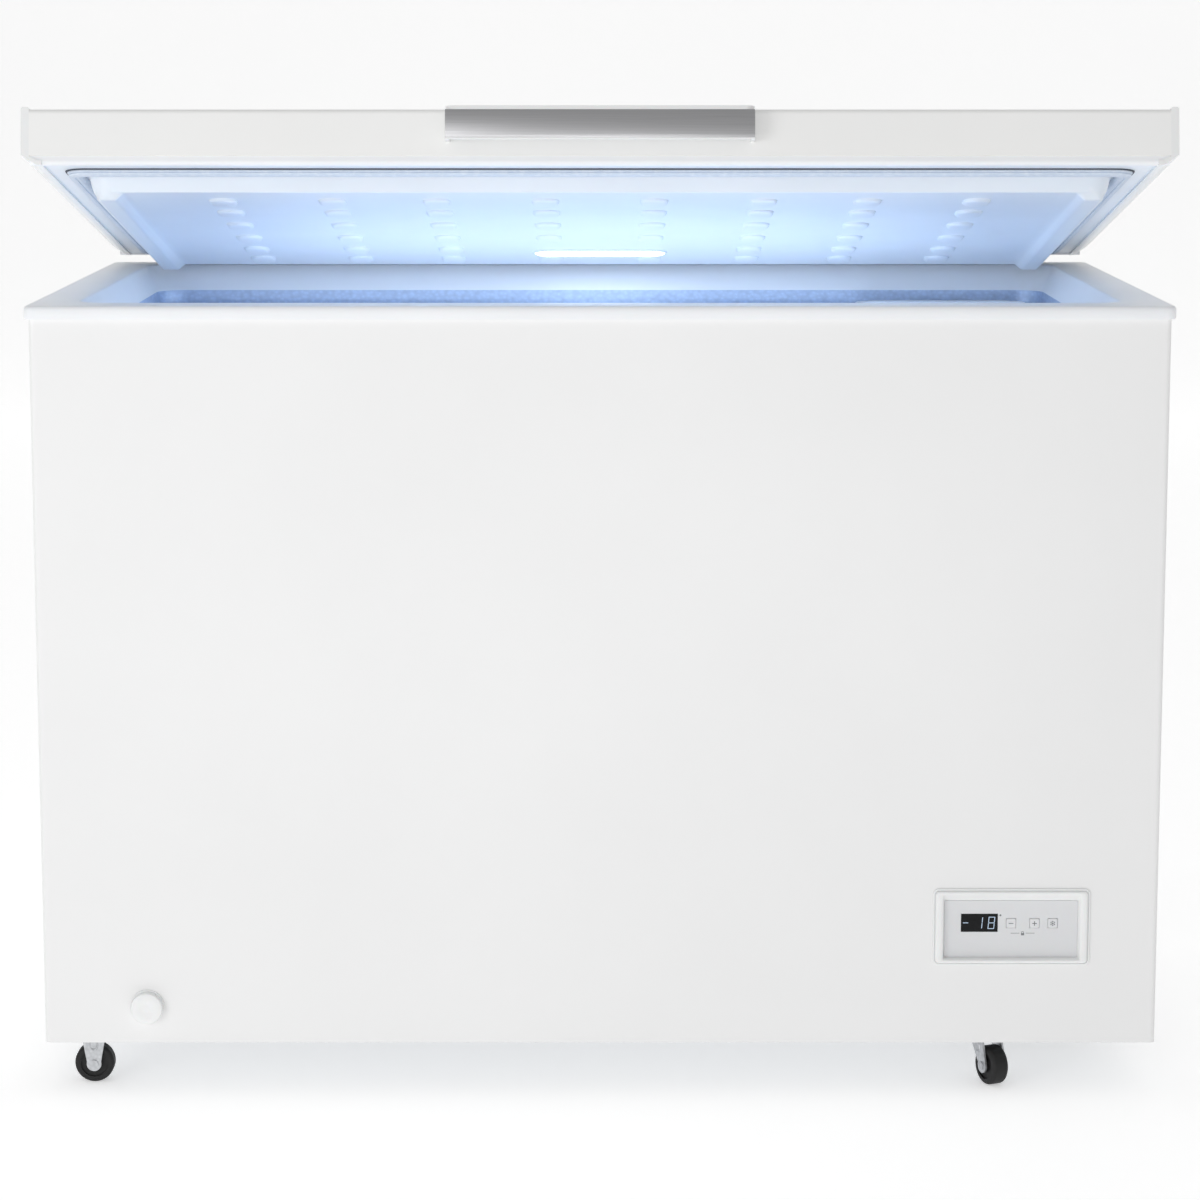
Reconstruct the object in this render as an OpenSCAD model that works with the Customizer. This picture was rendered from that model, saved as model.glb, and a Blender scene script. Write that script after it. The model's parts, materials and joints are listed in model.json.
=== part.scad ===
// Chest freezer: insulated cabinet on four casters, with a spring-hinged lid that stands part open.
// The origin is on the floor under the middle of the cabinet. The front faces -Y.

/* [Cabinet] */
// Width of the cabinet over its side panels
cab_w = 1121; // [960:1:1400]
// Depth of the cabinet over its front and back panels
cab_d = 671; // [560:1:810]
// Height of the rim above the floor
rim_z = 794; // [660:1:960]
// Gap between the floor and the lower edge of the cabinet
floor_gap = 50; // [49:0.5:56]
// Thickness of the painted outer sheet
steel_t = 0.8; // [0.6:0.1:1.2]
// Radius of the cabinet's upright front corners
cab_r = 5; // [3:0.5:9]
// Width of the flange folded in under the side and front panels
flange_w = 12; // [8:1:16]
// How far the base sheets sit above the lower edge
base_lift = 8; // [7:0.5:12]
// Thickness of the base pan
pan_t = 1.2; // [0.8:0.1:2]

/* [Tank] */
// Insulation and sheets between the outer panels and the tank
wall_t = 63; // [52:1:80]
// Insulation under the tank floor
floor_t = 58; // [48:1:72]
// Thickness of the tank liner
liner_t = 1; // [0.7:0.1:1.5]
// Radius of the tank's upright corners
tank_r = 24; // [15:1:40]
// Width of the ledge that carries the basket
ledge_w = 7; // [6.5:0.5:10]
// Depth of the ledge below the rim
ledge_drop = 44; // [40:1:60]

/* [Machine room] */
// Width of the room for the compressor
room_w = 226; // [215:1:270]
// Height of the room above its base plate
room_h = 280; // [250:1:330]
// Insulation between the room and the tank
room_wall = 48; // [40:1:60]
// Thickness of the plate that carries the compressor
plate_t = 2; // [1.5:0.1:3]
// Radius of the compressor's shell
comp_r = 76; // [60:1:84]
// Height of the compressor's shell
comp_h = 158; // [130:1:190]

/* [Rim frame] */
// How far the rim frame stands out from the panels
trim_lap = 4.5; // [3:0.1:7]
// Height of the frame's outer skirt
skirt_h = 13; // [10:0.5:20]
// Thickness of the frame's plastic
trim_t = 3; // [2:0.1:3.5]
// Depth of the frame's sloping inner wall
slope_h = 28.6; // [22:0.1:34]
// How far that wall leans inwards
slope_run = 13; // [9:0.5:18]

/* [Lid] */
// Angle at which the lid stands open
lid_open = 11; // [0:0.5:40]
// Gap between the rim and the lid's lowest edge when it is shut
lid_gap = 5; // [4:0.5:9]
// Thickness of the lid from its lowest edge to the top of its skin
lid_t = 55; // [48:1:70]
// How far the lid is wider than the rim frame on each side
lid_over = 0.5; // [0:0.1:3]
// Width of the end strips
strip_w = 8; // [6:0.5:11]
// Height of the rounded hem under the front and back edges
hem_h = 9; // [7:0.5:12]
// Radius of the skin's long edges
skin_r = 5; // [3:0.5:8]
// Thickness of the inner liner
lid_liner_t = 2.5; // [1.5:0.1:3.5]
// Depth of the plug below the lid's lowest edge
plug_h = 18; // [14:0.5:20]
// Extra depth of the plug's side ridges
ridge_h = 7; // [4:0.5:8]
// Width of the side ridges
ridge_w = 26; // [18:1:36]
// Clearance between the shut plug and the rim
plug_clear = 5; // [4:0.5:9]
// Width of the gasket
gasket_w = 14; // [10:1:20]
// Length of the lamp
lamp_l = 150; // [100:1:220]
// Width of the lamp
lamp_w = 44; // [30:1:60]
// Place of the lamp in front of the lid's back edge
lamp_back = 166; // [120:1:240]

/* [Handle] */
// Width of the handle
grip_w = 301; // [220:1:420]
// How far it stands out from the lid
grip_out = 22; // [18:1:32]
// Height of its metal plate
grip_plate_h = 27.5; // [20:0.5:34]
// Thickness of its web and walls
grip_t = 4; // [3:0.1:5]

/* [Hinges] */
// Distance of each hinge from the middle
hinge_x = 380; // [250:1:430]
// Width of the hinge channel
hinge_w = 50; // [40:1:60]
// Height of the hinge channel below its pin
hinge_h = 118; // [95:1:150]
// Thickness of the hinge steel
hinge_t = 2; // [1.5:0.1:3]
// Diameter of the hinge pin
pin_d = 6; // [5:0.1:8]
// Distance of the pin behind the rim frame
pin_back = 12; // [11:0.5:16]
// Distance of the pin below the rim
pin_drop = 5; // [3:0.5:8]

/* [Casters] */
// Diameter of the wheels
wheel_d = 40; // [36:0.5:42]
// Width of the wheels
wheel_w = 18; // [14:0.5:22]
// Diameter of the wheel axles
axle_d = 5; // [4:0.5:6]
// Inset of the casters from the front and back panels
caster_in = 38; // [34:1:60]
// Inset of the fixed casters from the left panel
rigid_in = 45; // [36:1:80]
// Distance of the swivel casters from the machine room's inner wall
swivel_in = 58.5; // [40:0.5:80]
// Offset of a swivel wheel behind its kingpin
trail = 14; // [10:0.5:18]
// Direction in which the front swivel wheel trails
turn_front = -65; // [-180:1:180]
// Direction in which the rear swivel wheel trails
turn_rear = 35; // [-180:1:180]

/* [Control panel] */
// Width of the bezel
bezel_w = 158; // [150:1:180]
// Height of the bezel
bezel_h = 79; // [74:1:95]
// Distance of the bezel's middle above the cabinet's lower edge
bezel_up = 120; // [100:1:150]
// Distance of the bezel's middle from the right panel
bezel_in = 147; // [120:1:180]
// How far the bezel stands out
bezel_out = 3.5; // [2:0.1:6]
// How far the fascia is set back from the panel
fascia_in = 4; // [3:0.1:8]
// Width of the display
display_w = 37; // [30:0.5:45]
// Height of the display
display_h = 18.6; // [14:0.1:24]
// Width of a push button
button_w = 9.5; // [7:0.1:12]
// Travel of a push button
button_travel = 0.8; // [0.4:0.1:1.2]

/* [Drain] */
// Distance of the drain from the left panel
drain_in = 104; // [80:1:160]
// Height of the drain outlet above the lower edge
drain_up = 37.5; // [30:0.5:44]
// Diameter of the drain cap
cap_d = 32; // [28:0.5:38]
// Outer diameter of the pull-out drain tube
tube_d = 20; // [16:0.5:22]
// Distance of the floor drain behind the tank's front wall
floor_drain_in = 52; // [40:1:120]

/* [Basket] */
// Width of the basket
basket_w = 194; // [150:1:300]
// Depth of the basket below its rails
basket_h = 225; // [120:1:280]
// Thickness of the basket's bars
bar_t = 4; // [3:0.5:5]
// Spacing of the basket's bars
bar_pitch = 48; // [30:1:70]

/* [Hidden] */
$fn = 64;
EPS = 0.01;
FIT = 0.1;           // radial clearance of a running fit
GAP = 0.3;           // clearance between pieces of different bodies
HUGE = 4 * (cab_w + cab_d);

// levels and faces
base_z = floor_gap + base_lift;
tank_z = base_z + pan_t + floor_t;
front_y = -cab_d / 2;
back_y = cab_d / 2;
shell_top = rim_z - trim_t;
trim_w = cab_w + 2 * trim_lap;
trim_d = cab_d + 2 * trim_lap;
trim_back = trim_d / 2;
foam_w = cab_w - 2 * steel_t;
foam_d = cab_d - 2 * steel_t;

// tank: the lower walls, the wider band above the ledge, and the mouth at the rim
tank_w = cab_w - 2 * wall_t;
tank_d = cab_d - 2 * wall_t;
band_w = tank_w + 2 * ledge_w;
band_d = tank_d + 2 * ledge_w;
mouth_w = band_w + 2 * slope_run;
mouth_d = band_d + 2 * slope_run;
ledge_z = rim_z - ledge_drop;
slope_z = rim_z - slope_h;
room_x = cab_w / 2 - room_w;
room_top = base_z + plate_t + room_h;
step_x = room_x - room_wall;
step_top = room_top + room_wall;

// lid, as it lies when shut
lid_w = trim_w + 2 * lid_over;
lid_d = trim_d;
lid_z = rim_z + lid_gap;
lid_top = lid_z + lid_t;
skin_w = lid_w - 2 * strip_w;
hem_in = 1;                        // the hem sits this far inside the skin's face
flange_z = lid_z + 2;              // underside of the liner's flange, above the hem's lowest line
strip_rise = 2;                    // the end strips stand this far above the skin
strip_foot = 20.5;                 // width of a strip's chamfered foot
plug_top_w = mouth_w - 2 * (plug_clear + 1.5);
plug_top_d = mouth_d - 2 * (plug_clear + 5.5);
plug_lean = 8;                     // how far the plug's walls lean in on each side
plug_w = plug_top_w - 2 * plug_lean;
plug_d = plug_top_d - plug_lean;
plug_r = 20;
gasket_in_w = mouth_w - 7;
gasket_in_d = mouth_d - 7;
lamp_y = lid_d / 2 - lamp_back;
hinge_y = trim_back + pin_back;
hinge_z = rim_z - pin_drop;

// handle
grip_front = -lid_d / 2 - grip_out;
grip_base = lid_top - grip_t - grip_plate_h - 1.5;
plate_bow = 1.5;                   // rise of the metal plate's curved face
plate_in = 1.5;                    // depth of the plate's flat back in its seat

// evaporator and condenser tubes in the foam
coil_r = 4;
coil_z0 = step_top + 34;
coil_rise = ledge_z - 24 - coil_z0;
coil_n = max(2, round(coil_rise / 60) + 1);
coil_pitch = coil_rise / (coil_n - 1);
coil_gap = 46;                     // opening of each loop, where it climbs to the next
evap_w = tank_w + 2 * (liner_t + coil_r + GAP);
evap_d = tank_d + 2 * (liner_t + coil_r + GAP);
cond_w = foam_w - 2 * (coil_r + GAP);
cond_d = foam_d - 2 * (coil_r + GAP);
evap_x = room_x + 62;              // where each coil's tail drops into the machine room
cond_x = room_x + 170;
tail_z = room_top - 22;

// casters
wheel_z = wheel_d / 2;
rigid_x = -cab_w / 2 + rigid_in;
swivel_x = room_x + swivel_in;
caster_y = back_y - caster_in;
fork_gap = wheel_w + 2;            // clear width inside a fork
fork_t = 2;
caster_plate = 42;
caster_plate_t = 2;
plate_low = base_z - caster_plate_t;
race_d = 27;
race_z = floor_gap + 1;
kingpin_d = 8;
web_top = race_z - GAP;
screw_at = caster_plate / 2 - 4.5;
plate_bore = 5.2;                  // holes for the caster screws

// control panel
panel_x = cab_w / 2 - bezel_in;
panel_z = floor_gap + bezel_up;
bezel_r = 4;
dish_w = bezel_w - 21;
dish_h = bezel_h - 12.5;
fascia_w = dish_w - 3;
fascia_h = dish_h - 8.5;
fascia_t = 1.2;
fascia_y = front_y + fascia_in;
fascia_z = panel_z - 3;            // the fascia's middle, under the deeper top cove
display_x = panel_x - 31.8;
display_z = panel_z + 3.2;
button_x = [panel_x + 0.1, panel_x + 23.7, panel_x + 42];
button_z = display_z - 0.5;
board_y = fascia_y + 14;
board_t = 1.6;
switch_h = 3;                      // height of the switch behind each button
tube_deep = 10;                    // depth of the lit tube behind the display

// compressor
comp_x = room_x + room_w / 2;
comp_y = 70;
comp_foot = base_z + plate_t;
comp_z = comp_foot + 16;
foot_dx = 62;
foot_dy = 88;
cover_w = room_w - 24;
cover_h = room_h + 8;
cover_t = 1.2;
cover_bore = 4.2;                  // holes for the cover's screws, and their pilots in the panel
cover_pilot = 3.2;
cover_x = room_x + room_w / 2 - 2;
cover_z = base_z + 1;
gland_x = cover_x + cover_w / 2 - 26;
gland_z = cover_z + 26;
gland_bore = 7.6;
port_z = comp_z + comp_h * 0.62;
drier_top = comp_foot + 192;

// drain
drain_x = -cab_w / 2 + drain_in;
drain_z = floor_gap + drain_up;
channel_d = tube_d + 6;
floor_drain_y = -tank_d / 2 + floor_drain_in;
collar_t = 2;
cap_t = 8;
tube_front = front_y - collar_t - GAP;
tube_l = 56;

// basket
basket_span = min(basket_w, tank_w / 2 - step_x - 13);   // kept clear of the tank's side wall
basket_x = step_x + 4 + basket_span / 2;
rail_y = tank_d / 2 + ledge_w / 2;
rail_z = ledge_z + GAP;
basket_d = tank_d - 14;
rail_in = 16;                      // the rails stop short of the basket's corners

// balance springs in the hinge channels
spring_r = 6.5;
spring_wire = 1.1;
spring_turns = 7;
spring_steps = 12;
spring_sides = 6;
spring_low = hinge_z - hinge_h + hinge_t + 2;
spring_high = hinge_z - pin_d / 2 - 16;

// ---------- shared shapes ----------

// rectangle with round corners, centred
module round_rect(w, d, r) {
  square([w - 2 * r, d], center = true);
  square([w, d - 2 * r], center = true);
  for (x = [-1, 1], y = [-1, 1])
    translate([x * (w / 2 - r), y * (d / 2 - r)]) circle(r);
}

// upright block with round corners, centred in X and Y, from z0 to z1
module slab(w, d, r, z0, z1) {
  translate([0, 0, z0]) linear_extrude(z1 - z0) round_rect(w, d, r);
}

// plain block between two corners
module block(low, high) {
  translate(low) cube(high - low);
}

// rod along X, Y or Z, centred on the point
module rod_x(d, l) { rotate([0, 90, 0]) cylinder(d = d, h = l, center = true); }
module rod_y(d, l) { rotate([90, 0, 0]) cylinder(d = d, h = l, center = true); }

// outline drawn in Y and Z, pushed out along X and centred
module sweep_x(l) { rotate([90, 0, 90]) translate([0, 0, -l / 2]) linear_extrude(l) children(); }
// outline drawn in X and Z, pushed out along Y and centred
module sweep_y(l) { rotate([90, 0, 0]) translate([0, 0, -l / 2]) linear_extrude(l) children(); }

// pipe through a list of points, with swollen brazed corners
module pipe(points, d) {
  for (i = [0 : len(points) - 2]) {
    run = points[i + 1] - points[i];
    translate(points[i])
      rotate([0, acos(run[2] / norm(run)), atan2(run[1], run[0])])
        cylinder(d = d, h = norm(run));
  }
  for (i = [1 : len(points) - 2]) translate(points[i]) sphere(d = d * 1.1);
}

// the lid's pieces are drawn shut and turned about the hinge pin
module opened() {
  translate([0, hinge_y, hinge_z]) rotate([-lid_open, 0, 0])
    translate([0, -hinge_y, -hinge_z]) children();
}

module at_hinges() { for (x = [-hinge_x, hinge_x]) translate([x, 0, 0]) children(); }

// ---------- cabinet ----------

// hollow of the tank above its step; grow widens it to the liner's outside
module tank_space(grow, top) {
  difference() {
    slab(tank_w + 2 * grow, tank_d + 2 * grow, tank_r + grow, tank_z - grow, ledge_z + EPS);
    block([step_x + grow, -HUGE, 0], [HUGE, HUGE, step_top - grow]);
  }
  slab(band_w + 2 * grow, band_d + 2 * grow, tank_r + ledge_w + grow, ledge_z - grow, top);
}

// the rim's sloping mouth; grow widens it to the frame's back face
module mouth(grow) {
  r = tank_r + ledge_w + grow;
  hull() {
    slab(mouth_w + 2 * grow, mouth_d + 2 * grow, r, rim_z, rim_z + EPS, $fn = 32);
    slab(band_w + 2 * grow, band_d + 2 * grow, r, slope_z - EPS, slope_z, $fn = 32);
  }
}

module cabinet_shell() {
  color("white") difference() {
    slab(cab_w, cab_d, cab_r, floor_gap, shell_top);
    difference() {
      block([-foam_w / 2, -foam_d / 2, floor_gap + steel_t], [foam_w / 2, back_y, rim_z]);
      corner_posts();
    }
    slab(cab_w - 2 * flange_w, cab_d - 2 * flange_w, cab_r, 0, rim_z);
    block([-HUGE, back_y - steel_t, 0], [HUGE, HUGE, rim_z]);
    translate([panel_x, front_y, panel_z]) cube([dish_w + 5, 4 * steel_t, dish_h + 5], center = true);
    translate([drain_x, front_y, drain_z]) rod_y(channel_d, 4 * steel_t);
  }
}

module back_panel() {
  color("white") difference() {
    intersection() {
      block([-cab_w / 2, back_y - steel_t, floor_gap], [cab_w / 2, back_y, shell_top]);
      slab(cab_w, cab_d, cab_r, floor_gap, shell_top);
    }
    block([cover_x - cover_w / 2 + 12, back_y - 2, cover_z + 12],
      [cover_x + cover_w / 2 - 12, back_y + 1, cover_z + cover_h - 12]);
    cover_screw_places() rod_y(cover_pilot, 4 * steel_t);
    hinge_screw_places() rod_y(4, 4 * steel_t);
  }
}

module base_pan() {
  color("silver") difference() {
    block([-foam_w / 2, -foam_d / 2, base_z], [room_x, foam_d / 2, base_z + pan_t]);
    corner_posts();
    rigid_screw_places() cylinder(d = plate_bore, h = 40, center = true);
  }
}

module compressor_plate() {
  color("silver") difference() {
    block([room_x, -foam_d / 2, base_z], [foam_w / 2, foam_d / 2, base_z + plate_t]);
    corner_posts();
    swivel_screw_places() cylinder(d = plate_bore, h = 40, center = true);
    comp_feet() cylinder(d = 8.2, h = 40, center = true);
    // air slots
    for (i = [0 : 5]) translate([comp_x - 50 + 20 * i, -150, base_z]) cube([7, 90, 20], center = true);
  }
}

// space cut in the foam for a coil: its rings, the climb between them and its tail; inside and
// outside carry the cut past the foam's own wall
module coil_groove(w, d, tail_x, inside, outside) {
  s = coil_r + GAP;
  for (i = [0 : coil_n - 1])
    difference() {
      z = coil_z0 + i * coil_pitch - s;
      slab(w + 2 * (s + outside), d + 2 * (s + outside), tank_r, z, z + 2 * s);
      slab(w - 2 * (s + inside), d - 2 * (s + inside), tank_r - 2, z - 1, z + 2 * s + 1);
    }
  block([-coil_gap, d / 2 - s - inside, coil_z0],
    [coil_gap, d / 2 + s + outside, coil_z0 + (coil_n - 1) * coil_pitch]);
  block([tail_x - s, d / 2 - s - inside, room_top - 5], [tail_x + s, d / 2 + s + outside, coil_z0]);
}

module cabinet_foam() {
  color("khaki") difference() {
    block([-foam_w / 2, -foam_d / 2, base_z + pan_t], [foam_w / 2, foam_d / 2, rim_z - trim_t]);
    corner_posts();
    tank_space(liner_t, rim_z + 1);
    mouth(trim_t);
    block([room_x, -HUGE, 0], [HUGE, HUGE, room_top]);
    coil_groove(evap_w, evap_d, evap_x, 3, 0);
    coil_groove(cond_w, cond_d, cond_x, 0, 3);
    translate([drain_x, 0, 0]) channel_outline(channel_d);
    sensor_shape(GAP);
  }
}

// upright edges of the foam's block, cut back inside the shell's round corners
module corner_posts() {
  side = sqrt(2) * (cab_r - steel_t);
  for (x = [-1, 1], y = [-1, 1])
    translate([x * foam_w / 2, y * foam_d / 2, rim_z / 2]) rotate([0, 0, 45])
      cube([side, side, 2 * rim_z], center = true);
}

module tank_liner() {
  color("lightsteelblue") difference() {
    tank_space(liner_t, slope_z);
    tank_space(0, rim_z);
    mouth(trim_t);
    translate([drain_x, floor_drain_y, tank_z]) cylinder(d = tube_d, h = 20, center = true);
  }
}

module top_trim() {
  color("white") difference() {
    union() {
      slab(trim_w, trim_d, cab_r + trim_lap, rim_z - skirt_h, rim_z - 1);
      slab(trim_w - 2, trim_d - 2, cab_r + trim_lap - 1, rim_z - 1, rim_z);
      mouth(trim_t);
    }
    mouth(0);
    difference() {
      slab(cab_w, cab_d, cab_r, 0, rim_z - trim_t);
      mouth(trim_t);
    }
    slab(band_w, band_d, tank_r + ledge_w, 0, slope_z);
    block([-HUGE, -HUGE, rim_z], [HUGE, HUGE, rim_z + 2]);
  }
}

// one loop of tube round the tank, open at the back
module coil_loop(w, d) {
  r = 24;
  difference() {
    union() {
      for (y = [-1, 1]) translate([0, y * d / 2, 0]) rod_x(2 * coil_r, w - 2 * r);
      for (x = [-1, 1]) translate([x * w / 2, 0, 0]) rod_y(2 * coil_r, d - 2 * r);
      for (c = [[1, 1, 0], [-1, 1, 90], [-1, -1, 180], [1, -1, 270]])
        translate([c[0] * (w / 2 - r), c[1] * (d / 2 - r), 0]) rotate([0, 0, c[2]])
          rotate_extrude(angle = 90) translate([r, 0]) circle(coil_r);
    }
    block([-coil_gap / 2, d / 4, -HUGE], [coil_gap / 2, HUGE, HUGE]);
  }
}

// loops, the slanting links between them, and the tail that drops to the machine room
module coil(w, d, tail_x) {
  for (i = [0 : coil_n - 1]) translate([0, 0, coil_z0 + i * coil_pitch]) coil_loop(w, d);
  for (i = [0 : coil_n - 2]) {
    z = coil_z0 + i * coil_pitch;
    side = coil_gap / 2;
    pipe([[-side - 2, d / 2, z], [-side, d / 2, z], [side, d / 2, z + coil_pitch],
      [side + 2, d / 2, z + coil_pitch]], 2 * coil_r);
  }
  pipe([[tail_x, d / 2, coil_z0], [tail_x, d / 2, tail_z]], 2 * coil_r - 0.5);
}

module evaporator_tube() { color("peru") coil(evap_w, evap_d, evap_x); }

module condenser_tube() { color("peru") coil(cond_w, cond_d, cond_x); }

// ---------- machine room ----------

module comp_feet() {
  for (x = [-1, 1], y = [-1, 1])
    translate([comp_x + x * foot_dx, comp_y + y * foot_dy, comp_foot]) children();
}

module compressor() {
  seam_z = comp_h * 0.55;
  color("#202020") difference() {
    union() {
      translate([comp_x, comp_y, comp_z]) rotate_extrude() {
        square([comp_r, comp_h - 30]);
        translate([0, comp_h - 30]) square([comp_r - 30, 30]);
        intersection() {
          translate([comp_r - 30, comp_h - 30]) circle(30);
          translate([0, comp_h - 31]) square([comp_r, 40]);
        }
        translate([0, seam_z]) square([comp_r + 5, 4]);
      }
      for (y = [-1, 1]) translate([comp_x, comp_y + y * foot_dy, comp_z - 1.5])
        cube([2 * foot_dx + 30, 34, 3], center = true);
      translate([comp_x, comp_y, comp_z - 1.5]) cube([60, 2 * foot_dy, 3], center = true);
      // fill and process stubs
      translate([comp_x - comp_r, comp_y + 20, port_z]) rod_x(12, 20);
      translate([comp_x + comp_r, comp_y + 20, port_z]) rod_x(12, 20);
    }
    comp_feet() cylinder(d = 14, h = 60);
  }
}

module compressor_mounts() {
  color("#181818") comp_feet() difference() {
    union() {
      cylinder(d = 24, h = 13);
      cylinder(d = 14, h = 18);
      translate([0, 0, 16.2]) cylinder(d = 20, h = 3);
    }
    translate([0, 0, -1]) cylinder(d = 8.2, h = 30);
  }
}

module compressor_bolts() {
  color("silver") comp_feet() {
    translate([0, 0, -plate_t - 3]) cylinder(d = 8, h = plate_t + 3 + 19.4);
    translate([0, 0, -plate_t - 4]) cylinder(d = 14, h = 4, $fn = 6);
    translate([0, 0, 19.3]) cylinder(d = 16, h = 5, $fn = 6);
  }
}

module start_relay() {
  color("#2a2a2a") translate([comp_x - 26, comp_y - comp_r - 28, comp_z + 16]) {
    cube([52, 28, 62]);
    translate([8, -3, 12]) cube([36, 4, 38]);
  }
}

module filter_drier() {
  color("peru") translate([cond_x, back_y - 30, drier_top - 102]) {
    cylinder(d = 19, h = 90);
    translate([0, 0, 90]) cylinder(d1 = 19, d2 = 7, h = 12);
    translate([0, 0, -12]) cylinder(d1 = 7, d2 = 19, h = 12);
    translate([0, 0, -20]) cylinder(d = 7, h = 10);
  }
}

// suction and discharge lines, and the line from the condenser's tail into the drier
module copper_lines() {
  evap_at = [evap_x, evap_d / 2, tail_z];
  cond_at = [cond_x, cond_d / 2, tail_z];
  left = [comp_x - comp_r - 10, comp_y + 20, port_z];
  right = [comp_x + comp_r + 10, comp_y + 20, port_z];
  rise = comp_z + comp_h + 14;
  color("peru") {
    pipe([evap_at, [evap_at[0], evap_at[1], rise], [left[0] - 9, left[1] + 60, rise],
      [left[0] - 9, left[1], port_z], left], 6.5);
    pipe([cond_at, [cond_x, cond_at[1], drier_top + 26], [cond_x, back_y - 30, drier_top + 12],
      [cond_x, back_y - 30, drier_top]], 6);
    pipe([right, [right[0] + 9, right[1], port_z], [right[0] + 9, right[1] - 60, port_z + 40],
      [right[0] + 9, right[1] - 60, room_top - 4]], 6);
  }
}

module cover_screw_places() {
  for (x = [-1, 1], z = [0.06, 0.5, 0.94])
    translate([cover_x + x * (cover_w / 2 - 6), back_y, cover_z + z * cover_h]) children();
}

// pressed cover with hooded air slots
module rear_cover() {
  rows = 9;
  slot_w = 52;
  pitch = (cover_h - 110) / (rows - 1);
  color("gainsboro") difference() {
    union() {
      block([cover_x - cover_w / 2, back_y, cover_z],
        [cover_x + cover_w / 2, back_y + cover_t, cover_z + cover_h]);
      for (i = [0 : rows - 1], x = [-1, 0, 1])
        translate([cover_x + x * 60, back_y, cover_z + 72 + i * pitch])
          sweep_x(slot_w) polygon([[0, 8], [0, -1.5], [1.2, -1.5], [5.5, -1.5], [1.2, 8]]);
    }
    for (i = [0 : rows - 1], x = [-1, 0, 1])
      translate([cover_x + x * 60, back_y, cover_z + 72 + i * pitch])
        sweep_x(slot_w - 3) polygon([[-2, 6], [-2, -3], [4.2, -3], [4.2, -1.5], [0.6, 6]]);
    translate([gland_x, back_y, gland_z]) rod_y(13, 10);
    cover_screw_places() rod_y(cover_bore, 10);
  }
}

module rear_cover_screws() {
  color("silver") cover_screw_places() {
    translate([0, 1.2 + 1.2, 0]) rod_y(8, 2.4);
    translate([0, -1.8, 0]) rod_y(3, 6);
  }
}

module cord_gland() {
  color("#303030") translate([gland_x, back_y, gland_z]) difference() {
    union() {
      translate([0, 1.2 + 2, 0]) rod_y(18, 4);
      translate([0, 1.2, 0]) rod_y(12.8, 12);
      translate([0, -3, 0]) rod_y(16, 4);
    }
    rod_y(gland_bore, 40);
  }
}

// ---------- control panel ----------

module control_bezel() {
  tube_l = fascia_in + fascia_t + 2;
  color("white") difference() {
    union() {
      translate([panel_x, front_y - bezel_out / 2, panel_z]) rotate([90, 0, 0])
        translate([0, 0, -bezel_out / 2]) {
          linear_extrude(bezel_out - 1.5) round_rect(bezel_w, bezel_h, bezel_r);
          linear_extrude(bezel_out - 0.7) round_rect(bezel_w - 4, bezel_h - 4, bezel_r);
          linear_extrude(bezel_out) round_rect(bezel_w - 8, bezel_h - 8, bezel_r);
        }
      translate([panel_x, front_y + tube_l / 2, panel_z])
        cube([dish_w + 4.4, tube_l + EPS, dish_h + 4.4], center = true);
    }
    hull() {
      translate([panel_x, front_y - bezel_out, panel_z]) cube([dish_w, EPS, dish_h], center = true);
      translate([panel_x, fascia_y, fascia_z]) cube([fascia_w, EPS, fascia_h], center = true);
    }
    translate([panel_x, fascia_y + 5, fascia_z]) cube([fascia_w, 10.02, fascia_h], center = true);
  }
}

// places a shape on the fascia, seen from the front
module on_fascia(x, z) { translate([x, fascia_y, z]) rotate([90, 0, 0]) children(); }

module control_fascia() {
  color("lightgray") difference() {
    on_fascia(panel_x, fascia_z) translate([0, 0, -fascia_t]) linear_extrude(fascia_t)
      square([fascia_w, fascia_h], center = true);
    on_fascia(display_x, display_z) cube([display_w, display_h, 10], center = true);
    for (x = button_x) on_fascia(x, button_z)
      cube([button_w + 2 * GAP, button_w + 2 * GAP, 10], center = true);
  }
}

module display_lens() {
  color("#101014") on_fascia(display_x, display_z) translate([0, 0, -2])
    linear_extrude(2.3) square([display_w, display_h], center = true);
}

// seven-segment strokes; on lists the lit ones
module digit(on) {
  w = 7.4;
  h = 13.4;
  t = 1.3;
  flat = [w - t, t];
  tall = [t, h / 2 - t];
  if (on[0]) translate([0, h / 2 - t / 2]) square(flat, center = true);
  if (on[1]) translate([w / 2, h / 4]) square(tall, center = true);
  if (on[2]) translate([w / 2, -h / 4]) square(tall, center = true);
  if (on[3]) translate([0, -h / 2 + t / 2]) square(flat, center = true);
  if (on[4]) translate([-w / 2, -h / 4]) square(tall, center = true);
  if (on[5]) translate([-w / 2, h / 4]) square(tall, center = true);
  if (on[6]) square(flat, center = true);
}

module display_digits() {
  right = display_x + display_w / 2;
  color("lightblue") for (glyph = [[-31.5, [0, 0, 0, 0, 0, 0, 1]], [-19.5, [0, 1, 1, 0, 0, 0, 0]],
      [-7, [1, 1, 1, 1, 1, 1, 1]]])
    on_fascia(right + glyph[0], display_z) translate([0, 0, 0.3]) linear_extrude(0.15) digit(glyph[1]);
}

// key cap with a flange behind the fascia and a stem that stops short of its switch
module push_button(i) {
  color("white") on_fascia(button_x[i], button_z) {
    translate([0, 0, -3]) linear_extrude(3.9) round_rect(button_w, button_w, 1.2);
    translate([0, 0, -5]) linear_extrude(2.5) round_rect(button_w + 3, button_w + 3, 1.2);
    translate([0, 0, -9]) cylinder(d = 3, h = 5);
  }
}
module button_minus() { push_button(0); }
module button_plus() { push_button(1); }
module button_boost() { push_button(2); }

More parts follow.
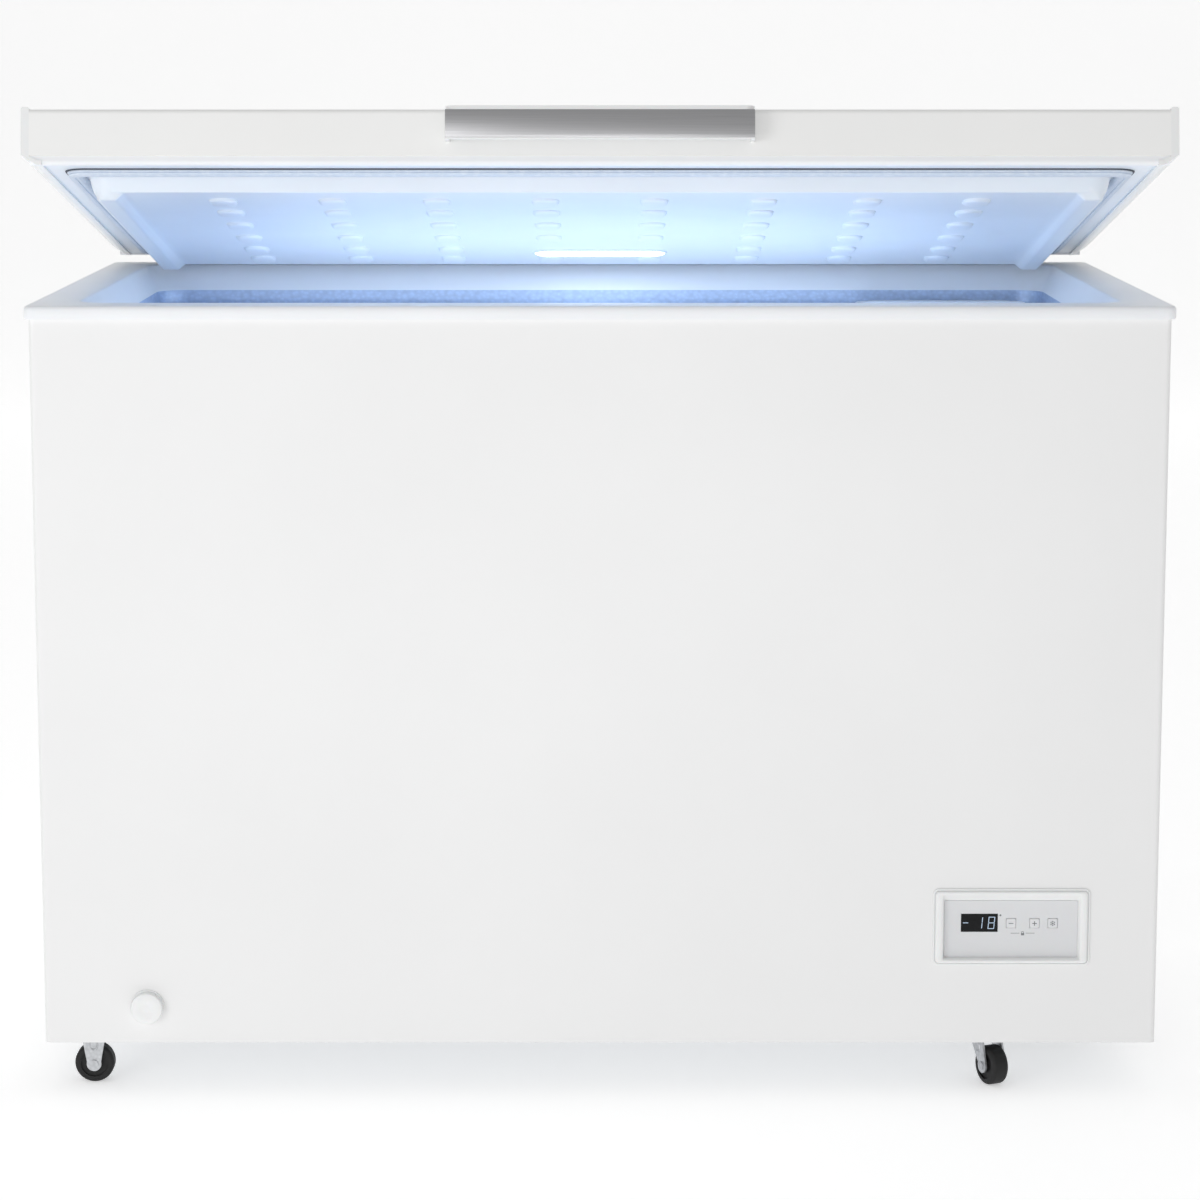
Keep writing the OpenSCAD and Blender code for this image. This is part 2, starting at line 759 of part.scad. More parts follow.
module control_board() {
  color("darkgreen") {
    translate([panel_x, board_y, fascia_z])
      cube([fascia_w - 6, board_t, fascia_h - 6], center = true);
    for (x = button_x) translate([x, board_y - (board_t + switch_h) / 2, button_z])
      cube([6, switch_h, 6], center = true);
    translate([display_x, board_y - (board_t + tube_deep) / 2, display_z])
      cube([display_w - 4, tube_deep, display_h - 4], center = true);
  }
}

// housing behind the panel, closed at the back
module control_box() {
  depth = 34;
  y0 = fascia_y + fascia_t + 2;
  color("whitesmoke") difference() {
    translate([panel_x, y0 + depth / 2, panel_z]) cube([dish_w + 4, depth, dish_h + 4], center = true);
    translate([panel_x, y0 + depth / 2 - 2, panel_z]) cube([dish_w, depth, dish_h], center = true);
    translate([panel_x + 40, y0 + depth, panel_z - 15]) rod_y(14, 10);
  }
  color("whitesmoke") for (x = [-1, 1])
    translate([panel_x + x * (dish_w / 2 - 2), board_y + board_t / 2 + 5, fascia_z])
      cube([4 + 2 * EPS, 10, 8], center = true);
}

// ---------- drain ----------

// outline of the pipe from the tank floor to the front panel
module channel_outline(d) {
  translate([0, floor_drain_y, drain_z]) {
    cylinder(d = d, h = tank_z - liner_t - drain_z);
    sphere(d = d);
    rotate([90, 0, 0]) cylinder(d = d, h = floor_drain_y - front_y);
  }
}

module drain_channel() {
  color("white") translate([drain_x, 0, 0]) difference() {
    union() {
      channel_outline(channel_d - EPS);
      translate([0, front_y - collar_t / 2, drain_z]) rod_y(cap_d + 3, collar_t);
    }
    translate([0, floor_drain_y, drain_z]) {
      cylinder(d = tube_d - 4, h = HUGE);
      sphere(d = tube_d - 4);
      rotate([90, 0, 0]) cylinder(d = tube_d - 4, h = HUGE);
    }
    translate([0, front_y + tube_l / 2 - 1, drain_z]) rod_y(tube_d + 2 * FIT, tube_l + 6);
    translate([0, floor_drain_y, tank_z - 8]) cylinder(d = tube_d, h = 10);
  }
}

module drain_tube() {
  color("white") translate([drain_x, tube_front + tube_l / 2, drain_z]) difference() {
    rod_y(tube_d, tube_l);
    rod_y(tube_d - 5, tube_l + 2);
    // outlet, uncovered when the tube is pulled out
    translate([0, -tube_l / 2 + 12, -tube_d / 2]) cylinder(d = 9, h = 8, center = true);
  }
}

// turning cap on the end of the drain tube
module drain_cap() {
  color("white") translate([drain_x, tube_front, drain_z]) rotate([90, 0, 0]) rotate_extrude() {
    translate([0, GAP]) square([cap_d / 2 - 2, cap_t]);
    translate([0, GAP]) square([cap_d / 2, cap_t - 2]);
    translate([cap_d / 2 - 2, cap_t - 2 + GAP]) circle(2);
    translate([0, -9]) square([tube_d / 2 - 2.5 - FIT, 9.5 + GAP]);
  }
}

module floor_plug() {
  color("white") translate([drain_x, floor_drain_y, tank_z + GAP]) {
    cylinder(d = tube_d + 10, h = 4);
    translate([0, 0, 3.5]) rotate([0, 90, 0]) cylinder(d = 12, h = 4, center = true);
    translate([0, 0, -7]) cylinder(d = tube_d - 2 * GAP, h = 8);
  }
}

// ---------- temperature probe ----------

module sensor_shape(grow) {
  translate([-120, tank_d / 2 + liner_t, coil_z0 + coil_pitch / 2])
    block([-20 - grow, -grow, -6 - grow], [20 + grow, 8 + grow, 6 + grow]);
}

module temperature_sensor() { color("gainsboro") sensor_shape(0); }

// ---------- casters ----------

module at_rigid() { for (y = [-1, 1]) translate([rigid_x, y * caster_y, 0]) children(); }
module at_swivel() { for (y = [-1, 1]) translate([swivel_x, y * caster_y, 0]) children(); }

module plate_corners() {
  for (x = [-1, 1], y = [-1, 1]) translate([x * screw_at, y * screw_at, base_z]) children();
}
module rigid_screw_places() { at_rigid() plate_corners() children(); }
module swivel_screw_places() { at_swivel() plate_corners() children(); }

// fork cheek from the top edge down to the eye round the axle, drawn in the wheel's plane
module cheek(top_z, top_from, top_to, eye_x) {
  eye = 7.5;
  difference() {
    union() {
      polygon([[top_from, top_z], [top_to, top_z], [eye_x + eye - 0.4, wheel_z + 2],
        [eye_x - eye + 0.4, wheel_z + 2]]);
      translate([eye_x, wheel_z]) circle(eye);
    }
    translate([eye_x, wheel_z]) circle(d = axle_d);
  }
}

module caster_plate_shape() {
  difference() {
    slab(caster_plate, caster_plate, 4, plate_low, base_z);
    plate_corners() cylinder(d = plate_bore, h = 20, center = true);
  }
}

module rigid_forks() {
  color("silver") at_rigid() {
    caster_plate_shape();
    for (s = [-1, 1]) translate([0, s * (fork_gap + fork_t) / 2, 0]) sweep_y(fork_t)
      cheek(plate_low + 1, -13.5, 13.5, 0);
  }
}

module axle(l) {
  rod_y(axle_d, l);
  for (s = [-1, 1]) translate([0, s * l / 2, 0]) rod_y(axle_d + 3.6, 1.6);
}

module rigid_axles() {
  color("gray") at_rigid() translate([0, 0, wheel_z]) axle(fork_gap + 2 * fork_t + 1.6);
}

module swivel_plates() {
  color("silver") at_swivel() difference() {
    union() {
      caster_plate_shape();
      translate([0, 0, race_z]) cylinder(d1 = race_d - 3, d2 = race_d, h = plate_low - race_z + EPS);
    }
    cylinder(d = kingpin_d + 2 * FIT, h = base_z + 1);
  }
}

module caster_screws() {
  module screw() {
    translate([0, 0, -caster_plate_t - 2.4]) cylinder(d = 8, h = 2.4);
    translate([0, 0, -caster_plate_t - EPS]) cylinder(d = 5, h = caster_plate_t + pan_t);
  }
  color("gray") {
    rigid_screw_places() screw();
    swivel_screw_places() screw();
  }
}

// wheels and forks are drawn with the axle along Y and turned into place
module place_swivel(side, turn) {
  translate([swivel_x, side * caster_y, 0]) rotate([0, 0, turn]) children();
}

module swivel_fork(side, turn) {
  color("silver") place_swivel(side, turn) {
    difference() {
      union() {
        translate([0, 0, web_top - fork_t]) cylinder(d = race_d - 1, h = fork_t);
        translate([-race_d / 2, -fork_gap / 2 - fork_t, web_top - fork_t])
          cube([race_d, fork_gap + 2 * fork_t, fork_t]);
      }
      translate([trail, 0, wheel_z]) rod_y(wheel_d + 4, fork_gap);
    }
    translate([0, 0, web_top - fork_t]) cylinder(d = kingpin_d, h = base_z - GAP - web_top + fork_t);
    for (s = [-1, 1]) translate([0, s * (fork_gap + fork_t) / 2, 0]) sweep_y(fork_t)
      cheek(web_top, -race_d / 2, race_d / 2, trail);
  }
}
module swivel_fork_front() { swivel_fork(-1, turn_front); }
module swivel_fork_rear() { swivel_fork(1, turn_rear); }

module swivel_axle(side, turn) {
  color("gray") place_swivel(side, turn) translate([trail, 0, wheel_z])
    axle(fork_gap + 2 * fork_t + 1.6);
}
module swivel_axle_front() { swivel_axle(-1, turn_front); }
module swivel_axle_rear() { swivel_axle(1, turn_rear); }

// solid wheel with a crowned tread, a dished side and a raised hub
module wheel() {
  half = wheel_w / 2;
  r = wheel_d / 2;
  bore = axle_d / 2 + FIT;
  round = 4;
  hub = 7;
  color("#151515") rotate([90, 0, 0]) rotate_extrude() difference() {
    union() {
      translate([bore, -half + round]) square([r - bore, 2 * (half - round)]);
      translate([bore, -half]) square([r - bore - round, 2 * half]);
      for (s = [-1, 1]) translate([r - round, s * (half - round)]) circle(round);
      translate([bore, -half - 0.7]) square([hub - bore, 2 * half + 1.4]);
    }
    for (s = [-1, 1]) translate([(hub + 14) / 2, s * half]) square([14 - hub, 4], center = true);
  }
}
module wheel_left_front() { translate([rigid_x, -caster_y, wheel_z]) wheel(); }
module wheel_left_rear() { translate([rigid_x, caster_y, wheel_z]) wheel(); }
module wheel_right_front() { place_swivel(-1, turn_front) translate([trail, 0, wheel_z]) wheel(); }
module wheel_right_rear() { place_swivel(1, turn_rear) translate([trail, 0, wheel_z]) wheel(); }

// ---------- basket ----------

// hanging basket of crossed bars, carried by two rails on the tank's ledges
module basket() {
  low = ledge_z - basket_h;
  w = basket_span - bar_t;
  d = basket_d - bar_t;
  nx = ceil(w / bar_pitch);
  ny = ceil(d / bar_pitch);
  nz = ceil(basket_h / bar_pitch);
  color("white") translate([basket_x, 0, 0]) {
    // upright bars and floor bars along Y
    for (i = [0 : nx]) translate([-w / 2 + i * w / nx, 0, 0]) {
      for (s = [-1, 1]) translate([0, s * d / 2, low + basket_h / 2])
        cube([bar_t, bar_t, basket_h], center = true);
      translate([0, 0, low + bar_t / 2]) cube([bar_t, d + bar_t, bar_t], center = true);
    }
    // upright bars of the two narrow ends and floor bars along X
    for (i = [0 : ny]) translate([0, -d / 2 + i * d / ny, 0]) {
      for (s = [-1, 1]) translate([s * w / 2, 0, low + basket_h / 2])
        cube([bar_t, bar_t, basket_h], center = true);
      translate([0, 0, low + bar_t / 2]) cube([w + bar_t, bar_t, bar_t], center = true);
    }
    // level bars all round
    for (i = [1 : nz]) translate([0, 0, low + i * basket_h / nz - bar_t / 2]) difference() {
      cube([w + bar_t, d + bar_t, bar_t], center = true);
      cube([w - bar_t, d - bar_t, 2 * bar_t], center = true);
    }
    // rails on the ledges, joined to the basket's top ring
    for (s = [-1, 1]) {
      translate([0, s * rail_y, rail_z + bar_t / 2])
        cube([w - 2 * rail_in, bar_t, bar_t], center = true);
      for (e = [-1, 1]) {
        translate([e * (w / 2 - rail_in), s * (rail_y + d / 2) / 2, rail_z + bar_t / 2])
          cube([bar_t, rail_y - d / 2 + bar_t, bar_t], center = true);
        translate([e * (w / 2 - rail_in), s * d / 2, rail_z])
          cube([bar_t, bar_t, 2 * bar_t], center = true);
      }
    }
  }
}

// ---------- lid, drawn shut ----------

// outline with two round upper corners, from y = 0 up
module arch_rect(w, h, r) {
  translate([-w / 2, 0]) square([w, h - r]);
  translate([-w / 2 + r, 0]) square([w - 2 * r, h]);
  for (s = [-1, 1]) translate([s * (w / 2 - r), h - r]) circle(r);
}

module lid_skin() {
  h = lid_t - hem_h;
  color("white") opened() difference() {
    translate([0, 0, lid_z + hem_h]) sweep_x(skin_w) difference() {
      arch_rect(lid_d, h, skin_r);
      translate([0, -EPS]) arch_rect(lid_d - 2 * steel_t, h - steel_t + EPS, skin_r - steel_t);
    }
    lid_screw_places() rod_y(4, 4 * steel_t);
  }
}

// outline of the right end strip in X and Z
module strip_outline() {
  x1 = lid_w / 2;
  x0 = x1 - strip_w;
  foot = x1 - strip_foot;
  top = lid_t + strip_rise;
  r = 2;
  seat = flange_z - lid_z + lid_liner_t;
  polygon([[x0, top - r], [x0 + r, top - r], [x1 - r, top - r], [x1, top - r], [x1, hem_h + 1],
    [foot + 6, 0.5], [foot + 2, 0], [foot, 0], [foot, seat], [foot + 4, seat], [x0, hem_h]]);
  translate([x0 + r, top - r]) circle(r);
  translate([x1 - r, top - r]) circle(r);
  translate([x0 + r, top - 2 * r]) square([strip_w - 2 * r, 2 * r]);
}

module lid_end_strips() {
  color("white") opened() for (s = [0, 1]) mirror([s, 0, 0])
    translate([0, 0, lid_z]) sweep_y(lid_d) strip_outline();
}

// plug that fills the mouth, with a deeper ridge along each side; grow shrinks or widens it
module plug(grow) {
  low = lid_z - plug_h - grow;
  r = plug_r + grow;
  shift = (plug_top_d - plug_d) / 8;
  hull() {
    slab(plug_top_w + 2 * grow, plug_top_d + 2 * grow, r, flange_z + lid_liner_t,
      flange_z + lid_liner_t + EPS, $fn = 32);
    translate([0, shift, 0]) slab(plug_w + 2 * grow, plug_d + 2 * grow, r, low, low + 1, $fn = 32);
  }
  // ridges
  for (s = [-1, 1]) translate([s * (plug_w / 2 - ridge_w / 2), shift, 0]) hull() {
    slab(ridge_w + 2 * grow, plug_d + 2 * grow, ridge_w / 3, low, low + 1, $fn = 32);
    slab(ridge_w * 0.6 + 2 * grow, plug_d - ridge_h + 2 * grow, ridge_w / 4, low - ridge_h,
      low - ridge_h + 1, $fn = 32);
  }
}

// width of the liner's flange between the end strips
flange_full = lid_w - 2 * strip_foot;

module lid_liner() {
  color("aliceblue") opened() difference() {
    union() {
      difference() {
        union() {
          block([-flange_full / 2, -lid_d / 2 + hem_h / 2, flange_z],
            [flange_full / 2, lid_d / 2 - hem_h / 2, flange_z + lid_liner_t]);
          plug(0);
        }
        plug(-lid_liner_t);
        block([-HUGE, -HUGE, flange_z + lid_liner_t], [HUGE, HUGE, flange_z + lid_liner_t + 1]);
      }
      // rounded hems along the front and the back
      for (s = [-1, 1]) translate([0, s * (lid_d / 2 - hem_in - hem_h / 2), lid_z + hem_h / 2]) {
        rod_x(hem_h, flange_full);
        translate([0, 0, hem_h / 4]) cube([flange_full, hem_h, hem_h / 2], center = true);
      }
    }
    lamp_pocket(0);
  }
}

module lid_foam() {
  color("khaki") opened() difference() {
    union() {
      translate([0, 0, lid_z + hem_h]) sweep_x(skin_w)
        arch_rect(lid_d - 2 * steel_t, lid_t - hem_h - steel_t, skin_r - steel_t);
      block([-flange_full / 2, -lid_d / 2 + 2 * hem_h, flange_z + lid_liner_t],
        [flange_full / 2, lid_d / 2 - 2 * hem_h, lid_z + hem_h + 1]);
      plug(-lid_liner_t);
    }
    lamp_pocket(1);
    lid_screw_places() rod_y(4, 40);
  }
}

module lid_gasket() {
  h = lid_gap - GAP;
  low = rim_z + GAP;
  color("lightslategray") opened() difference() {
    union() {
      slab(gasket_in_w + 2 * gasket_w, gasket_in_d + 2 * gasket_w, 20, low + 2, flange_z);
      slab(gasket_in_w + 2 * gasket_w - 3, gasket_in_d + 2 * gasket_w - 3, 18.5, low, low + h);
    }
    slab(gasket_in_w, gasket_in_d, 8, low - 1, flange_z + 1);
  }
}

// long slot with round ends
module pill(l, w, z0, z1) { slab(l, w, w / 2 - EPS, z0, z1); }

module lamp_pocket(grow) {
  low = lid_z - plug_h;
  translate([0, lamp_y, 0]) pill(lamp_l - 6 + 2 * grow, lamp_w - 6 + 2 * grow, low - 1, low + 16 + grow);
}

module lamp_housing() {
  low = lid_z - plug_h;
  color("white") opened() translate([0, lamp_y, 0]) difference() {
    pill(lamp_l - 6, lamp_w - 6, low, low + 16);
    pill(lamp_l - 10, lamp_w - 10, low - 1, low + 14);
  }
}

module lamp_lens() {
  low = lid_z - plug_h;
  color("white") opened() translate([0, lamp_y, 0]) {
    pill(lamp_l - 4, lamp_w - 4, low - 3, low - 2);
    pill(lamp_l, lamp_w, low - 2, low);
    pill(lamp_l - 10 - 2 * GAP, lamp_w - 10 - 2 * GAP, low - EPS, low + 3);
  }
}

// grip across the front edge: a top web, a front wall and two ends, open below for the fingers
module handle_grip() {
  r = 9;
  depth = grip_out - plate_in;
  y1 = -lid_d / 2;
  y0 = y1 - depth;
  color("white") opened() difference() {
    intersection() {
      block([-grip_w / 2, y0, grip_base], [grip_w / 2, y1, lid_top]);
      union() {
        block([-grip_w / 2, y0, grip_base], [grip_w / 2, y1, lid_top - grip_t]);
        translate([0, y0 + (depth + r) / 2, grip_base]) linear_extrude(lid_top - grip_base)
          round_rect(grip_w, depth + r, r);
      }
    }
    block([-grip_w / 2 + grip_t, y0 + grip_t - 1, 0], [grip_w / 2 - grip_t, y1 + 1, lid_top - grip_t]);
  }
}

// brushed plate with a bowed face on the grip's front wall
module handle_plate() {
  bow_r = grip_plate_h * grip_plate_h / (8 * plate_bow) + plate_bow / 2;
  back = grip_front + plate_in;
  color("silver") opened() translate([0, 0, lid_top - grip_t - grip_plate_h / 2]) sweep_x(grip_w) {
    intersection() {
      translate([back - plate_in + plate_bow - 0.5 + bow_r - plate_bow, 0]) circle(bow_r, $fn = 128);
      translate([back - 10, -grip_plate_h / 2]) square([10, grip_plate_h]);
    }
  }
}

// ---------- hinges ----------

module hinge_screw_places() {
  at_hinges() for (x = [-1, 1], z = [0.4, 0.85])
    translate([x * (hinge_w / 2 - 12), back_y, hinge_z - z * hinge_h]) children();
}
module lid_screw_places() {
  at_hinges() for (x = [-1, 1]) translate([x * 11, lid_d / 2, lid_z + lid_t * 0.62]) children();
}

// channel on the back panel whose cheeks hold the pin
module hinge_cabinet_leaves() {
  y0 = back_y - hinge_y;
  low = -hinge_h;
  top = -(skirt_h - pin_drop) - 4;
  eye = pin_d / 2 + 5;
  color("gainsboro") difference() {
    at_hinges() translate([0, hinge_y, hinge_z]) {
      sweep_x(hinge_w) polygon([[y0, low], [y0 + hinge_t, low], [y0 + hinge_t, top], [y0, top]]);
      for (s = [-1, 1]) translate([s * (hinge_w - hinge_t) / 2, 0, 0]) sweep_x(hinge_t) difference() {
        union() {
          polygon([[y0, low], [y0, top], [-pin_back + 1, top], [-eye, -eye / 2], [-eye, 0], [eye, 0],
            [eye, low / 2], [2, low]]);
          circle(eye);
        }
        circle(d = pin_d);
      }
      // floor of the channel, under the spring
      translate([0, (y0 + 2) / 2, low + hinge_t / 2]) cube([hinge_w, 2 - y0, hinge_t], center = true);
    }
    hinge_screw_places() rod_y(4.2, 20);
  }
}

module hinge_screws() {
  color("gray") hinge_screw_places() {
    translate([0, hinge_t + 1.2, 0]) rod_y(7.5, 2.4);
    translate([0, (hinge_t - steel_t) / 2, 0]) rod_y(3.8, hinge_t + steel_t);
  }
}

module hinge_lid_leaves() {
  y0 = lid_d / 2 - hinge_y;
  low = lid_z - hinge_z + hem_h + 3;
  high = low + 36;
  inner = hinge_w - 2 * hinge_t - 6;
  eye = pin_d / 2 + 4;
  color("gainsboro") opened() difference() {
    at_hinges() translate([0, hinge_y, hinge_z]) {
      sweep_x(inner) polygon([[y0, low], [y0 + hinge_t, low], [y0 + hinge_t, high], [y0, high]]);
      for (s = [-1, 1]) translate([s * (inner - hinge_t) / 2, 0, 0]) sweep_x(hinge_t) difference() {
        union() {
          polygon([[y0, low], [y0, high], [y0 + hinge_t, high], [eye, 8], [eye, 0], [-eye, 0],
            [-eye, 4], [y0, low - 8]]);
          circle(eye);
        }
        circle(d = pin_d + 2 * FIT);
      }
    }
    lid_screw_places() rod_y(4.2, 20);
  }
}

module lid_screws() {
  color("gray") opened() lid_screw_places() {
    translate([0, hinge_t + 1.2, 0]) rod_y(7.5, 2.4);
    translate([0, hinge_t / 2 - 5, 0]) rod_y(3.8, hinge_t + 10);
  }
}

module hinge_pins() {
  color("gray") at_hinges() translate([0, hinge_y, hinge_z]) {
    rod_x(pin_d, hinge_w + 1);
    for (s = [-1, 1]) translate([s * (hinge_w / 2 + 1), 0, 0]) rod_x(pin_d + 4, 2);
  }
}

// helical balance spring standing in each channel
function spring_point(i) = [spring_r * cos(360 * i / spring_steps),
  spring_r * sin(360 * i / spring_steps),
  i * (spring_high - spring_low) / (spring_turns * spring_steps)];
function spring_ring(i) = let (a = 360 * i / spring_steps) [for (k = [0 : spring_sides - 1])
  let (b = 360 * k / spring_sides, out = spring_wire * cos(b), up = spring_wire * sin(b))
  spring_point(i) + [out * cos(a), out * sin(a), up]];

module spring() {
  n = spring_turns * spring_steps;
  s = spring_sides;
  points = [for (i = [0 : n]) each spring_ring(i)];
  sides = [for (i = [0 : n - 1], k = [0 : s - 1]) let (m = (k + 1) % s)
    each [[i * s + k, i * s + m, (i + 1) * s + m], [i * s + k, (i + 1) * s + m, (i + 1) * s + k]]];
  ends = [[for (k = [s - 1 : -1 : 0]) k], [for (k = [0 : s - 1]) n * s + k]];
  polyhedron(points, concat(sides, ends), convexity = 20);
}

module hinge_springs() {
  color("dimgray") at_hinges() translate([0, hinge_y - 6, spring_low]) spring();
}

// ---------- output ----------

cabinet_shell();
back_panel();
base_pan();
compressor_plate();
cabinet_foam();
tank_liner();
top_trim();
evaporator_tube();
condenser_tube();
compressor();
compressor_mounts();
compressor_bolts();
start_relay();
filter_drier();
copper_lines();
rear_cover();
rear_cover_screws();
cord_gland();
control_bezel();
control_fascia();
display_lens();
display_digits();
control_board();
control_box();
drain_channel();
temperature_sensor();
rigid_forks();
rigid_axles();
swivel_plates();
caster_screws();
hinge_cabinet_leaves();
hinge_screws();
hinge_pins();
hinge_springs();
button_minus();
button_plus();
button_boost();
drain_tube();
drain_cap();
floor_plug();
swivel_fork_front();
swivel_fork_rear();
swivel_axle_front();
swivel_axle_rear();
wheel_left_front();
wheel_left_rear();
wheel_right_front();
wheel_right_rear();
basket();
lid_skin();
lid_end_strips();
lid_liner();
lid_foam();
lid_gasket();
lamp_housing();
lamp_lens();
handle_grip();
handle_plate();
hinge_lid_leaves();
lid_screws();
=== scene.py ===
"""Chest freezer: the visible pieces, finishes and studio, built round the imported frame."""

import json
import logging
import math
from collections.abc import Callable, Iterator, Sequence
from contextlib import contextmanager
from dataclasses import dataclass, field
from enum import Enum

import bmesh
import bpy
from mathutils import Matrix, Vector
from mathutils.kdtree import KDTree


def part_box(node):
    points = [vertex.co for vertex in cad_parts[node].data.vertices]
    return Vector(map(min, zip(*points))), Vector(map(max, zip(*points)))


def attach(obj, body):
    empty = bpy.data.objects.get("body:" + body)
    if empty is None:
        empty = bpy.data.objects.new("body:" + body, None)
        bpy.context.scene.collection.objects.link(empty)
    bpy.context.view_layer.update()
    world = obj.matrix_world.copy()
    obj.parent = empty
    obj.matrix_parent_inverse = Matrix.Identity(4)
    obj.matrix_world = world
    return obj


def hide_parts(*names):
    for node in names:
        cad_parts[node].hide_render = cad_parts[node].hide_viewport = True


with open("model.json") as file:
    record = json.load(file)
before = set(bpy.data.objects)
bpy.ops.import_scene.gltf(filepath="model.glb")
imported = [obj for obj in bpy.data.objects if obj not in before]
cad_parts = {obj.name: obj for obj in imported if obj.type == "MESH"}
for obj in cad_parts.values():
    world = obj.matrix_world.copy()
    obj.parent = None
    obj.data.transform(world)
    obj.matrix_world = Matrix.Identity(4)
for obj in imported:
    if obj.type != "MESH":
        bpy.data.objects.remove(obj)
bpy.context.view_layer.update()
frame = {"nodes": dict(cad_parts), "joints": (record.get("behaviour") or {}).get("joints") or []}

log = logging.getLogger("freezer")
logging.basicConfig(level=logging.INFO, format="%(name)s: %(message)s")

MM = 0.001
Colour = tuple[float, float, float]
Piece = bpy.types.Object


def srgb(red: float, green: float, blue: float) -> Colour:
    """Linear colour of an sRGB colour.

    Args:
        red: Red from 0 to 255.
        green: Green from 0 to 255.
        blue: Blue from 0 to 255.

    Returns:
        The linear red, green and blue, from 0 to 1.
    """
    return tuple(
        c / 12.92 / 255 if c / 255 <= 0.04045 else ((c / 255 + 0.055) / 1.055) ** 2.4
        for c in (red, green, blue)
    )


class Slot(Enum):
    """Material slots of the record."""

    PLASTIC = "white_plastic"
    LINING = "lid_lining"
    ZINC = "zinc"
    SILVER = "silver"
    FASCIA = "fascia"
    DIGITS = "lit_digits"
    GASKET = "gasket"
    LAMP = "lamp_lens"
    WIRE = "coated_wire"


# ---------- shader sums ----------


@dataclass(frozen=True)
class Value:
    """A node's output that takes part in sums, each of which adds a Math node."""

    graph: "Graph"
    socket: bpy.types.NodeSocket | None

    def sum(self, operation: str, first: object, second: object = 0.0) -> "Value":
        """Adds one Math node.

        Args:
            operation: The node's operation.
            first: The first term, a value or a number.
            second: The second term.

        Returns:
            The node's result.
        """
        return self.graph.node(
            "ShaderNodeMath", {"operation": operation}, {0: first, 1: second}
        )

    def __add__(self, other: object) -> "Value":
        """Returns self + other."""
        return self.sum("ADD", self, other)

    __radd__ = __add__

    def __sub__(self, other: object) -> "Value":
        """Returns self - other."""
        return self.sum("SUBTRACT", self, other)

    def __rsub__(self, other: object) -> "Value":
        """Returns other - self."""
        return self.sum("SUBTRACT", other, self)

    def __mul__(self, other: object) -> "Value":
        """Returns self * other."""
        return self.sum("MULTIPLY", self, other)

    __rmul__ = __mul__

    def __truediv__(self, other: object) -> "Value":
        """Returns self / other."""
        return self.sum("DIVIDE", self, other)

    def __gt__(self, other: object) -> "Value":
        """Returns 1 where self is above other, and 0 elsewhere."""
        return self.sum("GREATER_THAN", self, other)

    def __lt__(self, other: object) -> "Value":
        """Returns 1 where self is below other, and 0 elsewhere."""
        return self.sum("LESS_THAN", self, other)

    def __abs__(self) -> "Value":
        """Returns the size of self without its sign."""
        return self.sum("ABSOLUTE", self)

    def over(self, low: float, high: float) -> "Value":
        """Returns self scaled so that low is 0 and high is 1, and held between them.

        Args:
            low: The value that becomes 0.
            high: The value that becomes 1.
        """
        return self.graph.node(
            "ShaderNodeMapRange", {"clamp": True}, {0: self, 1: low, 2: high, 3: 0.0, 4: 1.0}
        )


